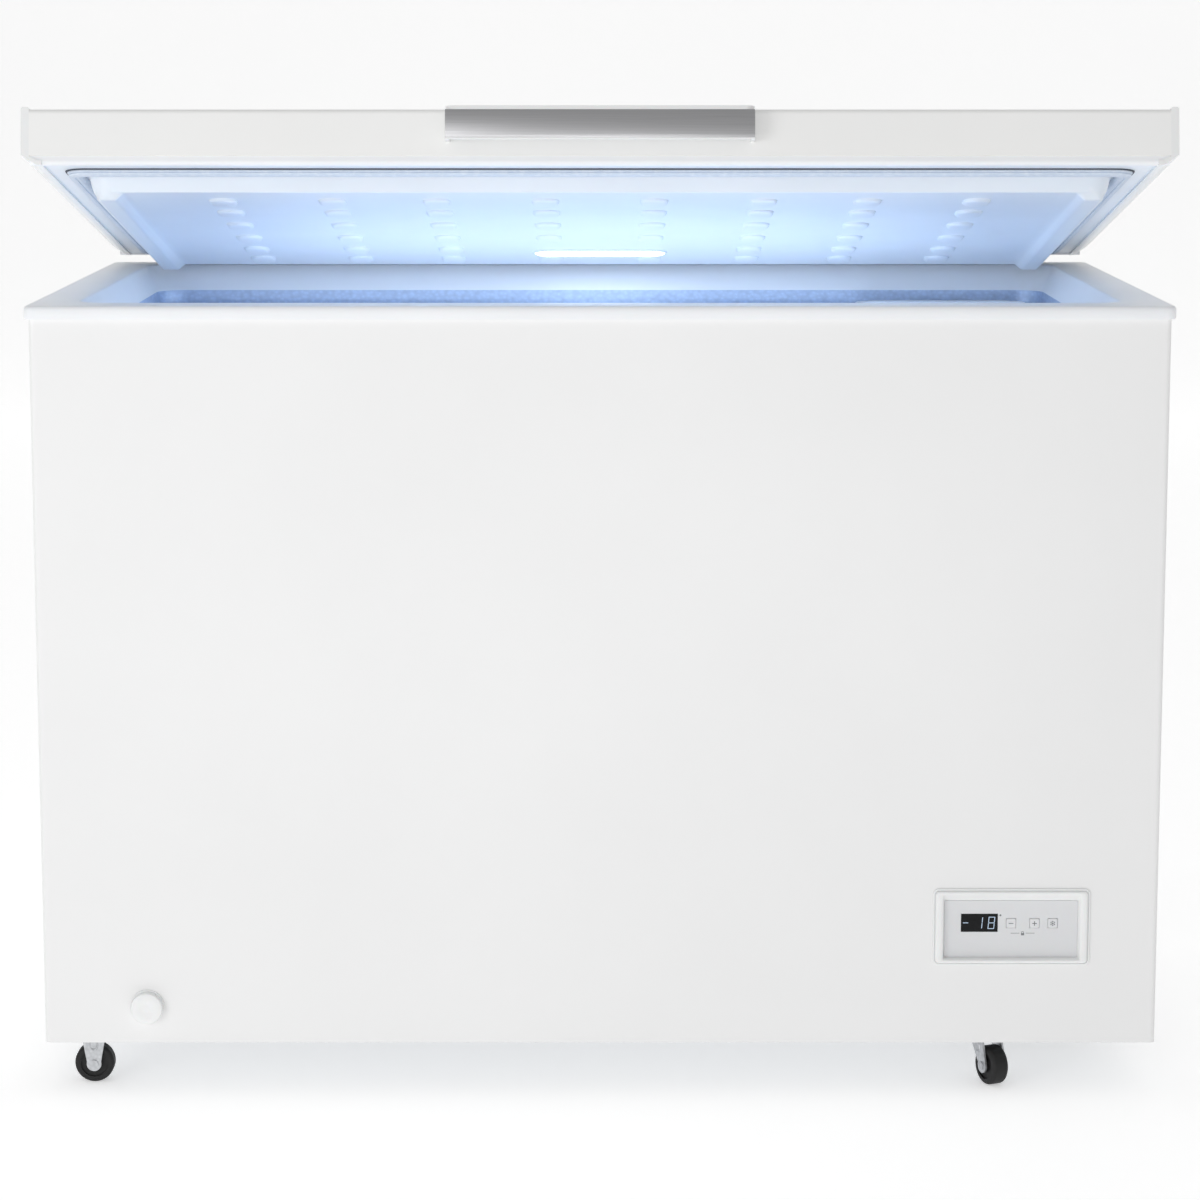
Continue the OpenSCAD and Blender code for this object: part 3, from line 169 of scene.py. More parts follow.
class Graph:
    """One material's nodes."""

    def __init__(self, name: str) -> None:
        """Starts an empty material.

        Args:
            name: The material's name.
        """
        self.material = bpy.data.materials.new(name)
        self.material.use_nodes = True
        self.tree = self.material.node_tree
        self.tree.nodes.clear()

    def node(
        self,
        kind: str,
        settings: dict[str, object] | None = None,
        inputs: dict[int | str, object] | None = None,
        output: int | str = 0,
    ) -> Value:
        """Adds a node of any kind.

        Args:
            kind: The node's type.
            settings: Its settings, which are set first; stops gives a ramp's stops.
            inputs: The values or links of its sockets.
            output: The output to return.

        Returns:
            The chosen output.
        """
        made = self.tree.nodes.new(kind)
        for key, value in (settings or {}).items():
            if key != "stops":
                setattr(made, key, value)
                continue
            ramp = made.color_ramp
            while len(ramp.elements) < len(value):
                ramp.elements.new(1.0)
            for element, (at, colour) in zip(ramp.elements, value):
                element.position = at
                element.color = (*colour, 1.0)
        for key, value in (inputs or {}).items():
            socket = made.inputs[key]
            if isinstance(value, Value):
                self.tree.links.new(value.socket, socket)
            elif isinstance(value, tuple) and len(value) == 3 and socket.type == "RGBA":
                socket.default_value = (*value, 1.0)
            else:
                socket.default_value = value
        return Value(self, made.outputs[output] if made.outputs else None)

    def place(self, stretch: tuple[float, float, float] = (1.0, 1.0, 1.0)) -> Value:
        """Returns object coordinates, stretched along the axes.

        Args:
            stretch: Scale along X, Y and Z.
        """
        at = self.node("ShaderNodeTexCoord", output="Object")
        return self.node("ShaderNodeMapping", {}, {"Vector": at, "Scale": stretch})

    def axes(self) -> tuple[Value, Value, Value]:
        """Returns object coordinates X, Y and Z as three values."""
        at = self.node("ShaderNodeTexCoord", output="Object")
        split = self.node("ShaderNodeSeparateXYZ", {}, {0: at}).socket.node
        return tuple(Value(self, socket) for socket in split.outputs)

    def noise(self, scale: float, detail: float = 3.0, stretch=(1.0, 1.0, 1.0)) -> Value:
        """Returns noise from 0 to 1.

        Args:
            scale: Its cells in a metre.
            detail: Its octaves.
            stretch: Scale along X, Y and Z.
        """
        return self.node(
            "ShaderNodeTexNoise",
            {},
            {"Vector": self.place(stretch), "Scale": scale, "Detail": detail, "Roughness": 0.55},
        )

    def cells(self, scale: float, feature: str = "F1", stretch=(1.0, 1.0, 1.0)) -> Value:
        """Returns distance in a cell pattern.

        Args:
            scale: Its cells in a metre.
            feature: F1, SMOOTH_F1 or DISTANCE_TO_EDGE.
            stretch: Scale along X, Y and Z.
        """
        return self.node(
            "ShaderNodeTexVoronoi",
            {"feature": feature},
            {"Vector": self.place(stretch), "Scale": scale},
        )

    def blend(self, share: object, first: object, second: object) -> Value:
        """Returns a mix of two colours.

        Args:
            share: How much of the second, from 0 to 1.
            first: The first colour.
            second: The second colour.
        """
        made = self.node("ShaderNodeMix", {"data_type": "RGBA"}, {"Factor": share}, "Result")
        node = made.socket.node
        for index, value in ((6, first), (7, second)):
            if isinstance(value, Value):
                self.tree.links.new(value.socket, node.inputs[index])
            else:
                node.inputs[index].default_value = (*value, 1.0)
        return Value(self, node.outputs[2])

    def bump(self, height: Value, depth: float, strength: float = 1.0) -> Value:
        """Returns a normal bent by a height.

        Args:
            height: The height, from 0 to 1.
            depth: How far 1 stands above 0, in metres.
            strength: The share of the bend that shows.
        """
        return self.node(
            "ShaderNodeBump", {}, {"Height": height, "Distance": depth, "Strength": strength}
        )

    def surface(self, **inputs: object) -> bpy.types.Material:
        """Adds the shader and the output.

        Args:
            **inputs: The shader's sockets, with spaces written as underscores.

        Returns:
            The finished material.
        """
        named = {key.replace("_", " "): value for key, value in inputs.items()}
        shader = self.node("ShaderNodeBsdfPrincipled", {}, named)
        self.node("ShaderNodeOutputMaterial", {}, {"Surface": shader})
        return self.material


# ---------- finishes ----------


@dataclass(frozen=True)
class Enamel:
    """White enamel sprayed on steel, with a faint orange peel."""

    name: str = "white_enamel"
    tone: Colour = srgb(240, 240, 240)
    gloss: float = 0.34

    def material(self) -> bpy.types.Material:
        """Returns the finish's material."""
        g = Graph(self.name)
        peel = g.noise(420.0, 2.0)
        cloud = g.noise(3.0, 3.0)
        shade = g.blend(cloud.over(0.3, 0.7), self.tone, tuple(c * 0.975 for c in self.tone))
        return g.surface(
            Base_Color=shade,
            Roughness=self.gloss + 0.08 * cloud + 0.05 * g.noise(60.0, 4.0),
            Normal=g.bump(peel, 0.00006, 0.5),
            Coat_Weight=0.15,
            Coat_Roughness=0.25,
        )


@dataclass(frozen=True)
class Moulded:
    """Moulded plastic with a fine spark grain."""

    name: str = "white_plastic"
    tone: Colour = srgb(240, 241, 241)
    gloss: float = 0.38
    grain: float = 1600.0
    depth: float = 0.00003
    cloudy: float = 0.03

    def material(self) -> bpy.types.Material:
        """Returns the finish's material."""
        g = Graph(self.name)
        cloud = g.noise(9.0, 4.0)
        dark = tuple(c * (1 - self.cloudy) for c in self.tone)
        return g.surface(
            Base_Color=g.blend(cloud.over(0.3, 0.7), self.tone, dark),
            Roughness=self.gloss + 0.1 * g.noise(140.0, 3.0),
            Normal=g.bump(g.noise(self.grain, 2.0), self.depth, 0.6),
            Subsurface_Weight=0.04,
            Subsurface_Scale=0.002,
        )


@dataclass(frozen=True)
class Plated:
    """Zinc-plated or galvanised steel, mottled where the crystals differ."""

    name: str = "zinc_plate"
    tone: Colour = srgb(205, 207, 210)
    spangle: float = 260.0
    gloss: float = 0.3
    shade: float = 0.8

    def material(self) -> bpy.types.Material:
        """Returns the finish's material."""
        g = Graph(self.name)
        crystal = g.cells(self.spangle, "F1")
        grime = g.noise(70.0, 5.0)
        dark = tuple(c * self.shade for c in self.tone)
        return g.surface(
            Base_Color=g.blend(crystal.over(0.1, 0.9), self.tone, dark),
            Metallic=0.9,
            Roughness=self.gloss + 0.22 * grime + 0.1 * crystal,
            Normal=g.bump(grime, 0.00008, 0.5),
        )


@dataclass(frozen=True)
class Stucco:
    """Aluminium sheet of the tank, with a stucco emboss."""

    name: str = "stucco_aluminium"
    # grey aluminium; the blue of this tone is partly painted light, the cool cast of the lamp in
    # the tank
    tone: Colour = srgb(196, 212, 236)

    def material(self) -> bpy.types.Material:
        """Returns the finish's material."""
        g = Graph(self.name)
        emboss = g.cells(210.0, "SMOOTH_F1", (1.0, 1.0, 1.3))
        fine = g.noise(620.0, 2.0)
        height = emboss * 0.8 + fine * 0.25
        dark = tuple(c * 0.82 for c in self.tone)
        return g.surface(
            Base_Color=g.blend(emboss.over(0.15, 0.75), self.tone, dark),
            Metallic=0.55,
            Roughness=0.36 + 0.12 * fine,
            Normal=g.bump(height, 0.0007, 0.8),
        )


@dataclass(frozen=True)
class Brushed:
    """Aluminium brushed along X."""

    name: str = "brushed_silver"
    tone: Colour = srgb(190, 190, 192)

    def material(self) -> bpy.types.Material:
        """Returns the finish's material."""
        g = Graph(self.name)
        streak = g.noise(900.0, 4.0, (0.012, 1.0, 1.0))
        dark = tuple(c * 0.88 for c in self.tone)
        return g.surface(
            Base_Color=g.blend(streak.over(0.3, 0.7), self.tone, dark),
            Metallic=1.0,
            Roughness=0.3 + 0.2 * streak,
            Normal=g.bump(streak, 0.00003, 0.6),
        )


@dataclass(frozen=True)
class Rubber:
    """Rubber, or the hard black tread of a wheel, scuffed grey where it rolls."""

    name: str = "black_tread"
    tone: Colour = srgb(8, 8, 9)
    gloss: float = 0.5
    worn: float = 0.12

    def material(self) -> bpy.types.Material:
        """Returns the finish's material."""
        g = Graph(self.name)
        scuff = g.noise(160.0, 5.0)
        pale = tuple(min(1.0, c * 1.8 + 0.015) for c in self.tone)
        return g.surface(
            Base_Color=g.blend(scuff.over(0.45, 0.8) * self.worn, self.tone, pale),
            Roughness=self.gloss + 0.25 * scuff,
            Normal=g.bump(g.noise(800.0, 3.0), 0.00008, 0.5),
        )


@dataclass(frozen=True)
class Glow:
    """A lit face behind a milky or clear lens."""

    name: str
    tone: Colour
    power: float

    def material(self) -> bpy.types.Material:
        """Returns the finish's material."""
        g = Graph(self.name)
        cloud = g.noise(50.0, 2.0)
        dim = tuple(c * 0.9 for c in self.tone)
        lit = g.blend(cloud, self.tone, dim)
        return g.surface(
            Base_Color=lit,
            Roughness=0.25 + 0.1 * cloud,
            Emission_Color=lit,
            Emission_Strength=self.power,
        )


@dataclass(frozen=True)
class Glass:
    """Black display window."""

    name: str = "display_window"

    def material(self) -> bpy.types.Material:
        """Returns the finish's material."""
        g = Graph(self.name)
        haze = g.noise(90.0, 3.0)
        return g.surface(
            Base_Color=g.blend(haze, srgb(8, 8, 10), srgb(14, 15, 18)),
            Roughness=0.08 + 0.1 * haze,
            Specular_IOR_Level=0.2,
        )


@dataclass(frozen=True)
class Foamed:
    """Poured foam, with open cells in its skin."""

    name: str = "poured_foam"
    tone: Colour = srgb(226, 208, 150)

    def material(self) -> bpy.types.Material:
        """Returns the finish's material."""
        g = Graph(self.name)
        cell = g.cells(260.0)
        return g.surface(
            Base_Color=g.blend(cell, self.tone, tuple(c * 0.7 for c in self.tone)),
            Roughness=0.8 + 0.1 * cell,
            Normal=g.bump(cell, 0.0008),
        )


class Finishes:
    """Every finish of the freezer, each made once."""

    def __init__(self) -> None:
        """Makes the materials."""
        made = {
            "enamel": Enamel(),
            "lid_enamel": Enamel("lid_enamel", srgb(246, 246, 245), 0.36),
            "back_enamel": Enamel("back_enamel", srgb(228, 229, 230), 0.45),
            "plastic": Moulded(),
            "trim": Moulded("rim_plastic", srgb(240, 242, 245), 0.34, 1300.0, 0.00004),
            # white lining plastic; its faint blue is partly painted light, the cool cast of the
            # lid's lamp
            "lining": Moulded("lining_plastic", srgb(234, 241, 249), 0.3, 900.0, 0.00003, 0.04),
            "keys": Moulded("key_plastic", srgb(224, 225, 227), 0.35, 2400.0, 0.00001),
            "print": Moulded("grey_print", srgb(128, 130, 133), 0.5, 2400.0, 0.00001),
            "fascia": Moulded("silver_fascia", srgb(222, 223, 225), 0.4, 2600.0, 0.00001),
            "relay": Moulded("black_plastic", srgb(30, 30, 31), 0.45, 900.0, 0.00006, 0.2),
            "board": Moulded("board_green", srgb(20, 80, 50), 0.4, 500.0, 0.00004, 0.3),
            "wire": Moulded("coated_wire", srgb(236, 240, 246), 0.24, 300.0, 0.00004),
            "galvanised": Plated("galvanised_sheet", srgb(204, 207, 210), 300.0, 0.4, 0.88),
            "zinc": Plated(),
            "spring": Plated("spring_steel", srgb(96, 96, 98), 500.0, 0.35),
            "copper": Plated("copper_tube", srgb(196, 122, 84), 300.0, 0.3),
            "compressor": Enamel("black_enamel", srgb(24, 24, 25), 0.3),
            "stucco": Stucco(),
            "brushed": Brushed(),
            "tread": Rubber(),
            "rubber": Rubber("black_rubber", srgb(30, 30, 30), 0.6, 0.1),
            # the gasket is white rubber; this grey-blue tone is partly painted shade under the lid
            # and partly the painted blue cast of the lamp
            "gasket": Rubber("gasket_rubber", srgb(206, 216, 230), 0.5, 0.3),
            # painted shade: this dark rubber tone stands for the shadow gap at the gasket's foot;
            # the real gasket is white
            "shade_line": Rubber("gasket_painted_shade", srgb(70, 76, 88), 0.55, 0.1),
            "lamp": Glow("lamp_lens", srgb(244, 250, 255), 2.6),
            "digits": Glow("lit_digits", srgb(168, 186, 206), 0.55),
            "glass": Glass(),
            "foam": Foamed(),
        }
        self.made = {key: finish.material() for key, finish in made.items()}

    def dress(self, piece: Piece, key: str) -> Piece:
        """Gives a piece one finish.

        Args:
            piece: The piece.
            key: The finish's key.

        Returns:
            The piece.
        """
        piece.data.materials.clear()
        piece.data.materials.append(self.made[key])
        return piece

    def dress_nodes(self, key: str, *nodes: str) -> None:
        """Gives CAD nodes one finish.

        Args:
            key: The finish's key.
            *nodes: The nodes' names.
        """
        for node in nodes:
            self.dress(frame["nodes"][node], key)


# ---------- bench ----------


@dataclass(frozen=True)
class Ring:
    """One level rounded rectangle of a lofted piece."""

    width: float
    depth: float
    radius: float
    z: float
    x: float = 0.0
    y: float = 0.0

    def points(self, steps: int) -> list[Vector]:
        """Returns the ring's points, anticlockwise.

        Args:
            steps: Steps in each corner.
        """
        r = max(min(self.radius, self.width / 2 - 1e-5, self.depth / 2 - 1e-5), 1e-5)
        found = []
        for sx, sy, start in ((1, 1, 0), (-1, 1, 90), (-1, -1, 180), (1, -1, 270)):
            for i in range(steps + 1):
                a = math.radians(start + 90 * i / steps)
                found.append(
                    Vector(
                        (
                            self.x + sx * (self.width / 2 - r) + r * math.cos(a),
                            self.y + sy * (self.depth / 2 - r) + r * math.sin(a),
                            self.z,
                        )
                    )
                )
        return found


class Bench:
    """Modelling tools that add, shape, join and finish pieces."""

    @staticmethod
    def clear() -> None:
        """Deselects everything."""
        if bpy.context.object and bpy.context.object.mode != "OBJECT":
            bpy.ops.object.mode_set(mode="OBJECT")
        bpy.ops.object.select_all(action="DESELECT")

    @classmethod
    def only(cls, piece: Piece) -> None:
        """Selects one piece and makes it active."""
        cls.clear()
        piece.select_set(True)
        bpy.context.view_layer.objects.active = piece

    @classmethod
    def named(cls, name: str) -> Piece:
        """Names the new active piece and settles it at the origin.

        Args:
            name: The piece's name.

        Returns:
            The piece.
        """
        piece = bpy.context.object
        piece.name = name
        piece.data.name = name
        cls.settle(piece)
        return piece

    @classmethod
    def settle(cls, piece: Piece) -> None:
        """Moves a piece's place, turn and scale into its mesh."""
        cls.only(piece)
        bpy.ops.object.transform_apply(location=True, rotation=True, scale=True)

    @classmethod
    @contextmanager
    def editing(cls, piece: Piece) -> Iterator[bmesh.types.BMesh]:
        """Opens a piece in edit mode.

        Args:
            piece: The piece.

        Yields:
            Its edit mesh.
        """
        cls.only(piece)
        bpy.ops.object.mode_set(mode="EDIT")
        yield bmesh.from_edit_mesh(piece.data)
        bmesh.update_edit_mesh(piece.data)
        bpy.ops.object.mode_set(mode="OBJECT")

    @staticmethod
    def pick(
        piece: Piece, kind: str, test: Callable[[Vector, Vector], bool]
    ) -> bmesh.types.BMesh:
        """Selects elements in edit mode by their middle and normal.

        Args:
            piece: The piece in edit mode.
            kind: VERT, EDGE or FACE.
            test: Takes the middle and the normal.

        Returns:
            The edit mesh.
        """
        bpy.ops.mesh.select_mode(type=kind)
        bpy.ops.mesh.select_all(action="DESELECT")
        mesh = bmesh.from_edit_mesh(piece.data)
        mesh.normal_update()
        if kind == "FACE":
            for face in mesh.faces:
                face.select_set(test(face.calc_center_median(), face.normal))
        elif kind == "EDGE":
            for edge in mesh.edges:
                middle = (edge.verts[0].co + edge.verts[1].co) / 2
                edge.select_set(test(middle, edge.verts[1].co - edge.verts[0].co))
        else:
            for vert in mesh.verts:
                vert.select_set(test(vert.co, vert.normal))
        mesh.select_flush_mode()
        bmesh.update_edit_mesh(piece.data)
        return mesh

    @classmethod
    def box(cls, name: str, low: Sequence[float], high: Sequence[float]) -> Piece:
        """Adds a box between two corners, ready to be shaped.

        Args:
            name: The piece's name.
            low: Its lowest corner.
            high: Its highest corner.

        Returns:
            The piece.
        """
        cls.clear()
        low, high = Vector(low), Vector(high)
        bpy.ops.mesh.primitive_cube_add(size=1.0, location=(low + high) / 2, scale=high - low)
        return cls.named(name)

    @classmethod
    def loft(
        cls, name: str, rings: Sequence[Ring], steps: int = 8, closed: bool = False
    ) -> Piece:
        """Extrudes a circle through a row of rings.

        Args:
            name: The piece's name.
            rings: The rings, from first to last.
            steps: Steps in each corner.
            closed: Whether the last ring joins the first; otherwise both ends get a face.

        Returns:
            The piece.
        """
        cls.clear()
        count = 4 * (steps + 1)
        bpy.ops.mesh.primitive_circle_add(vertices=count, radius=1.0, fill_type="NOTHING")
        piece = cls.named(name)
        path = [*rings, rings[0]] if closed else list(rings)
        with cls.editing(piece) as mesh:
            before = path[0].points(steps)
            mesh.verts.ensure_lookup_table()
            for vert, point in zip(mesh.verts, before):
                vert.co = point
            bmesh.update_edit_mesh(piece.data)
            bpy.ops.mesh.select_all(action="SELECT")
            for ring in path[1:]:
                bpy.ops.mesh.extrude_region_move()
                after = ring.points(steps)
                tree = KDTree(count)
                for index, point in enumerate(before):
                    tree.insert(point, index)
                tree.balance()
                mesh = bmesh.from_edit_mesh(piece.data)
                for vert in mesh.verts:
                    if vert.select:
                        vert.co = after[tree.find(vert.co)[1]]
                bmesh.update_edit_mesh(piece.data)
                before = after
            if closed:
                bpy.ops.mesh.select_all(action="SELECT")
                bpy.ops.mesh.remove_doubles(threshold=1e-6)
            else:
                bpy.ops.mesh.edge_face_add()
                first = path[0]
                cls.pick(piece, "VERT", lambda at, _: abs(at.z - first.z) < 1e-6)
                ends = {tuple(round(c, 5) for c in p) for p in first.points(steps)}
                mesh = bmesh.from_edit_mesh(piece.data)
                for vert in mesh.verts:
                    vert.select_set(tuple(round(c, 5) for c in vert.co) in ends)
                mesh.select_flush_mode()
                bmesh.update_edit_mesh(piece.data)
                bpy.ops.mesh.edge_face_add()
            bpy.ops.mesh.select_all(action="SELECT")
            bpy.ops.mesh.normals_make_consistent(inside=False)
        return piece

    @classmethod
    def tube(
        cls, name: str, points: Sequence[Sequence[float]], radius: float, closed: bool = False
    ) -> Piece:
        """Runs a round wire through points.

        Args:
            name: The piece's name.
            points: The wire's middle line.
            radius: The wire's radius.
            closed: Whether the wire joins its start.

        Returns:
            The piece, as a mesh.
        """
        cls.clear()
        line = bpy.data.curves.new(name, "CURVE")
        line.dimensions = "3D"
        line.bevel_depth = radius
        line.bevel_resolution = 2
        line.use_fill_caps = True
        spline = line.splines.new("POLY")
        spline.points.add(len(points) - 1)
        for at, point in zip(spline.points, points):
            at.co = (*point, 1.0)
        spline.use_cyclic_u = closed
        piece = bpy.data.objects.new(name, line)
        bpy.context.scene.collection.objects.link(piece)
        cls.only(piece)
        bpy.ops.object.convert(target="MESH")
        piece = bpy.context.object
        with cls.editing(piece):
            bpy.ops.mesh.select_all(action="SELECT")
            bpy.ops.mesh.remove_doubles(threshold=1e-6)
            bpy.ops.mesh.normals_make_consistent(inside=False)
        return cls.smooth(piece, 50)

    @classmethod
    def join(cls, name: str, pieces: Sequence[Piece]) -> Piece:
        """Joins pieces into one.

        Args:
            name: The joined piece's name.
            pieces: The pieces.

        Returns:
            The joined piece.
        """
        cls.clear()
        for piece in pieces:
            piece.select_set(True)
        bpy.context.view_layer.objects.active = pieces[0]
        if len(pieces) > 1:
            bpy.ops.object.join()
        return cls.named(name)

    @classmethod
    def copy(cls, piece: Piece, name: str, shift: Sequence[float]) -> Piece:
        """Copies a piece, with its own mesh, to another place.

        Args:
            piece: The piece.
            name: The copy's name.
            shift: How far the copy moves.

        Returns:
            The copy.
        """
        made = piece.copy()
        made.data = piece.data.copy()
        bpy.context.scene.collection.objects.link(made)
        made.location = shift
        bpy.context.view_layer.objects.active = made
        bpy.context.view_layer.update()
        cls.only(made)
        return cls.named(name)

    @classmethod
    def merged(cls, node: str, name: str) -> Piece:
        """Copies a CAD node's mesh as a closed piece with whole faces.

        Args:
            node: The node's name.
            name: The copy's name.

        Returns:
            The copy.
        """
        source = frame["nodes"][node]
        made = bpy.data.objects.new(name, source.data.copy())
        bpy.context.scene.collection.objects.link(made)
        cls.only(made)
        if made.data.has_custom_normals:
            bpy.ops.mesh.customdata_custom_splitnormals_clear()
        with cls.editing(made):
            bpy.ops.mesh.select_all(action="SELECT")
            bpy.ops.mesh.remove_doubles(threshold=1e-6)
            bpy.ops.mesh.dissolve_limited(angle_limit=math.radians(0.5))
            bpy.ops.mesh.normals_make_consistent(inside=False)
        return made

    @classmethod
    def modify(cls, piece: Piece, kind: str, **settings: object) -> Piece:
        """Adds a modifier and applies it.

        Args:
            piece: The piece.
            kind: The modifier's type.
            **settings: Its settings.

        Returns:
            The piece.
        """
        cls.only(piece)
        made = piece.modifiers.new(kind.title(), kind)
        for key, value in settings.items():
            setattr(made, key, value)
        bpy.ops.object.modifier_apply(modifier=made.name)
        return piece

    @classmethod
    def soften(cls, piece: Piece, width: float, segments: int = 2, angle: float = 35.0) -> Piece:
        """Rounds a piece's edges.

        Args:
            piece: The piece.
            width: The width of the rounding.
            segments: Its segments.
            angle: The least angle of an edge that is rounded, in degrees.

        Returns:
            The piece.
        """
        cls.modify(
            piece,
            "BEVEL",
            width=width,
            segments=segments,
            limit_method="ANGLE",
            angle_limit=math.radians(angle),
            use_clamp_overlap=True,
            harden_normals=False,
        )
        return cls.smooth(piece, 40)

    @classmethod
    def smooth(cls, piece: Piece, degrees: float = 35.0) -> Piece:
        """Shades a piece smooth where its faces meet at less than an angle.

        Args:
            piece: The piece.
            degrees: The angle.

        Returns:
            The piece.
        """
        cls.only(piece)
        bpy.ops.object.shade_smooth_by_angle(angle=math.radians(degrees))
        return piece

    @classmethod
    def turn(cls, piece: Piece, matrix: Matrix) -> Piece:
        """Turns and moves a piece.

        Args:
            piece: The piece.
            matrix: The turn and the move.

        Returns:
            The piece.
        """
        piece.matrix_world = matrix @ piece.matrix_world
        bpy.context.view_layer.update()
        cls.settle(piece)
        return piece

    @classmethod
    def grid(
        cls,
        name: str,
        xs: Sequence[float],
        ys: Sequence[float],
        height: Callable[[float, float], float],
    ) -> Piece:
        """Adds a grid whose lines lie where they are wanted, and lifts its points.

        Args:
            name: The piece's name.
            xs: Places of its lines along X.
            ys: Places of its lines along Y.
            height: Takes X and Y and gives Z.

        Returns:
            The piece.
        """
        cls.clear()
        bpy.ops.mesh.primitive_grid_add(
            x_subdivisions=len(xs) - 1, y_subdivisions=len(ys) - 1, size=2.0
        )
        piece = cls.named(name)
        for index, vert in enumerate(piece.data.vertices):
            x, y = xs[index % len(xs)], ys[index // len(xs)]
            vert.co = (x, y, height(x, y))
        piece.data.update()
        return piece


def ease(t: float) -> float:
    """Returns a smooth step from 0 to 1 as t goes from 0 to 1."""
    t = min(max(t, 0.0), 1.0)
    return t * t * (3 - 2 * t)


def spread(*spans: tuple[float, float, float]) -> list[float]:
    """Returns places along an axis, mirrored about zero.

    Args:
        *spans: Each the start, the end and the step of a run, on the positive side.
    """
    half: list[float] = []
    for start, end, step in spans:
        count = max(1, round((end - start) / step))
        half += [start + (end - start) * i / count for i in range(count)]
    half.append(spans[-1][1])
    half = sorted(set(round(v, 6) for v in half))
    return sorted([-v for v in half if v > 0] + half)


def outside(x: float, y: float, width: float, depth: float, radius: float) -> float:
    """Returns how far a point lies outside a rounded rectangle about the middle.

    Args:
        x: The point's X.
        y: The point's Y.
        width: The rectangle's width.
        depth: Its depth.
        radius: Its corners' radius.
    """
    dx = abs(x) - width / 2 + radius
    dy = abs(y) - depth / 2 + radius
    return math.hypot(max(dx, 0), max(dy, 0)) + min(max(dx, dy), 0) - radius


# ---------- lid ----------


@dataclass
class Swing:
    """Turn between the lid as it lies shut and as it stands open at rest."""

    joint: str = "lid_hinge"
    matrix: Matrix = field(init=False)

    def __post_init__(self) -> None:
        """Reads the hinge from the frame."""
        row = next(j for j in frame["joints"] if j["name"] == self.joint)
        pin = Matrix.Translation(Vector(row["pos_m"]))
        turn = Matrix.Rotation(math.radians(row["range_deg"][0]), 4, "X")
        self.matrix = pin @ turn @ pin.inverted()

    def shut_box(self, node: str) -> tuple[Vector, Vector]:
        """Returns a lid node's lowest and highest corners as it lies when shut.

        Args:
            node: The node's name.
        """
        back = self.matrix.inverted()
        points = [back @ v.co for v in frame["nodes"][node].data.vertices]
        low = Vector(min(p[i] for p in points) for i in range(3))
        high = Vector(max(p[i] for p in points) for i in range(3))
        return low, high


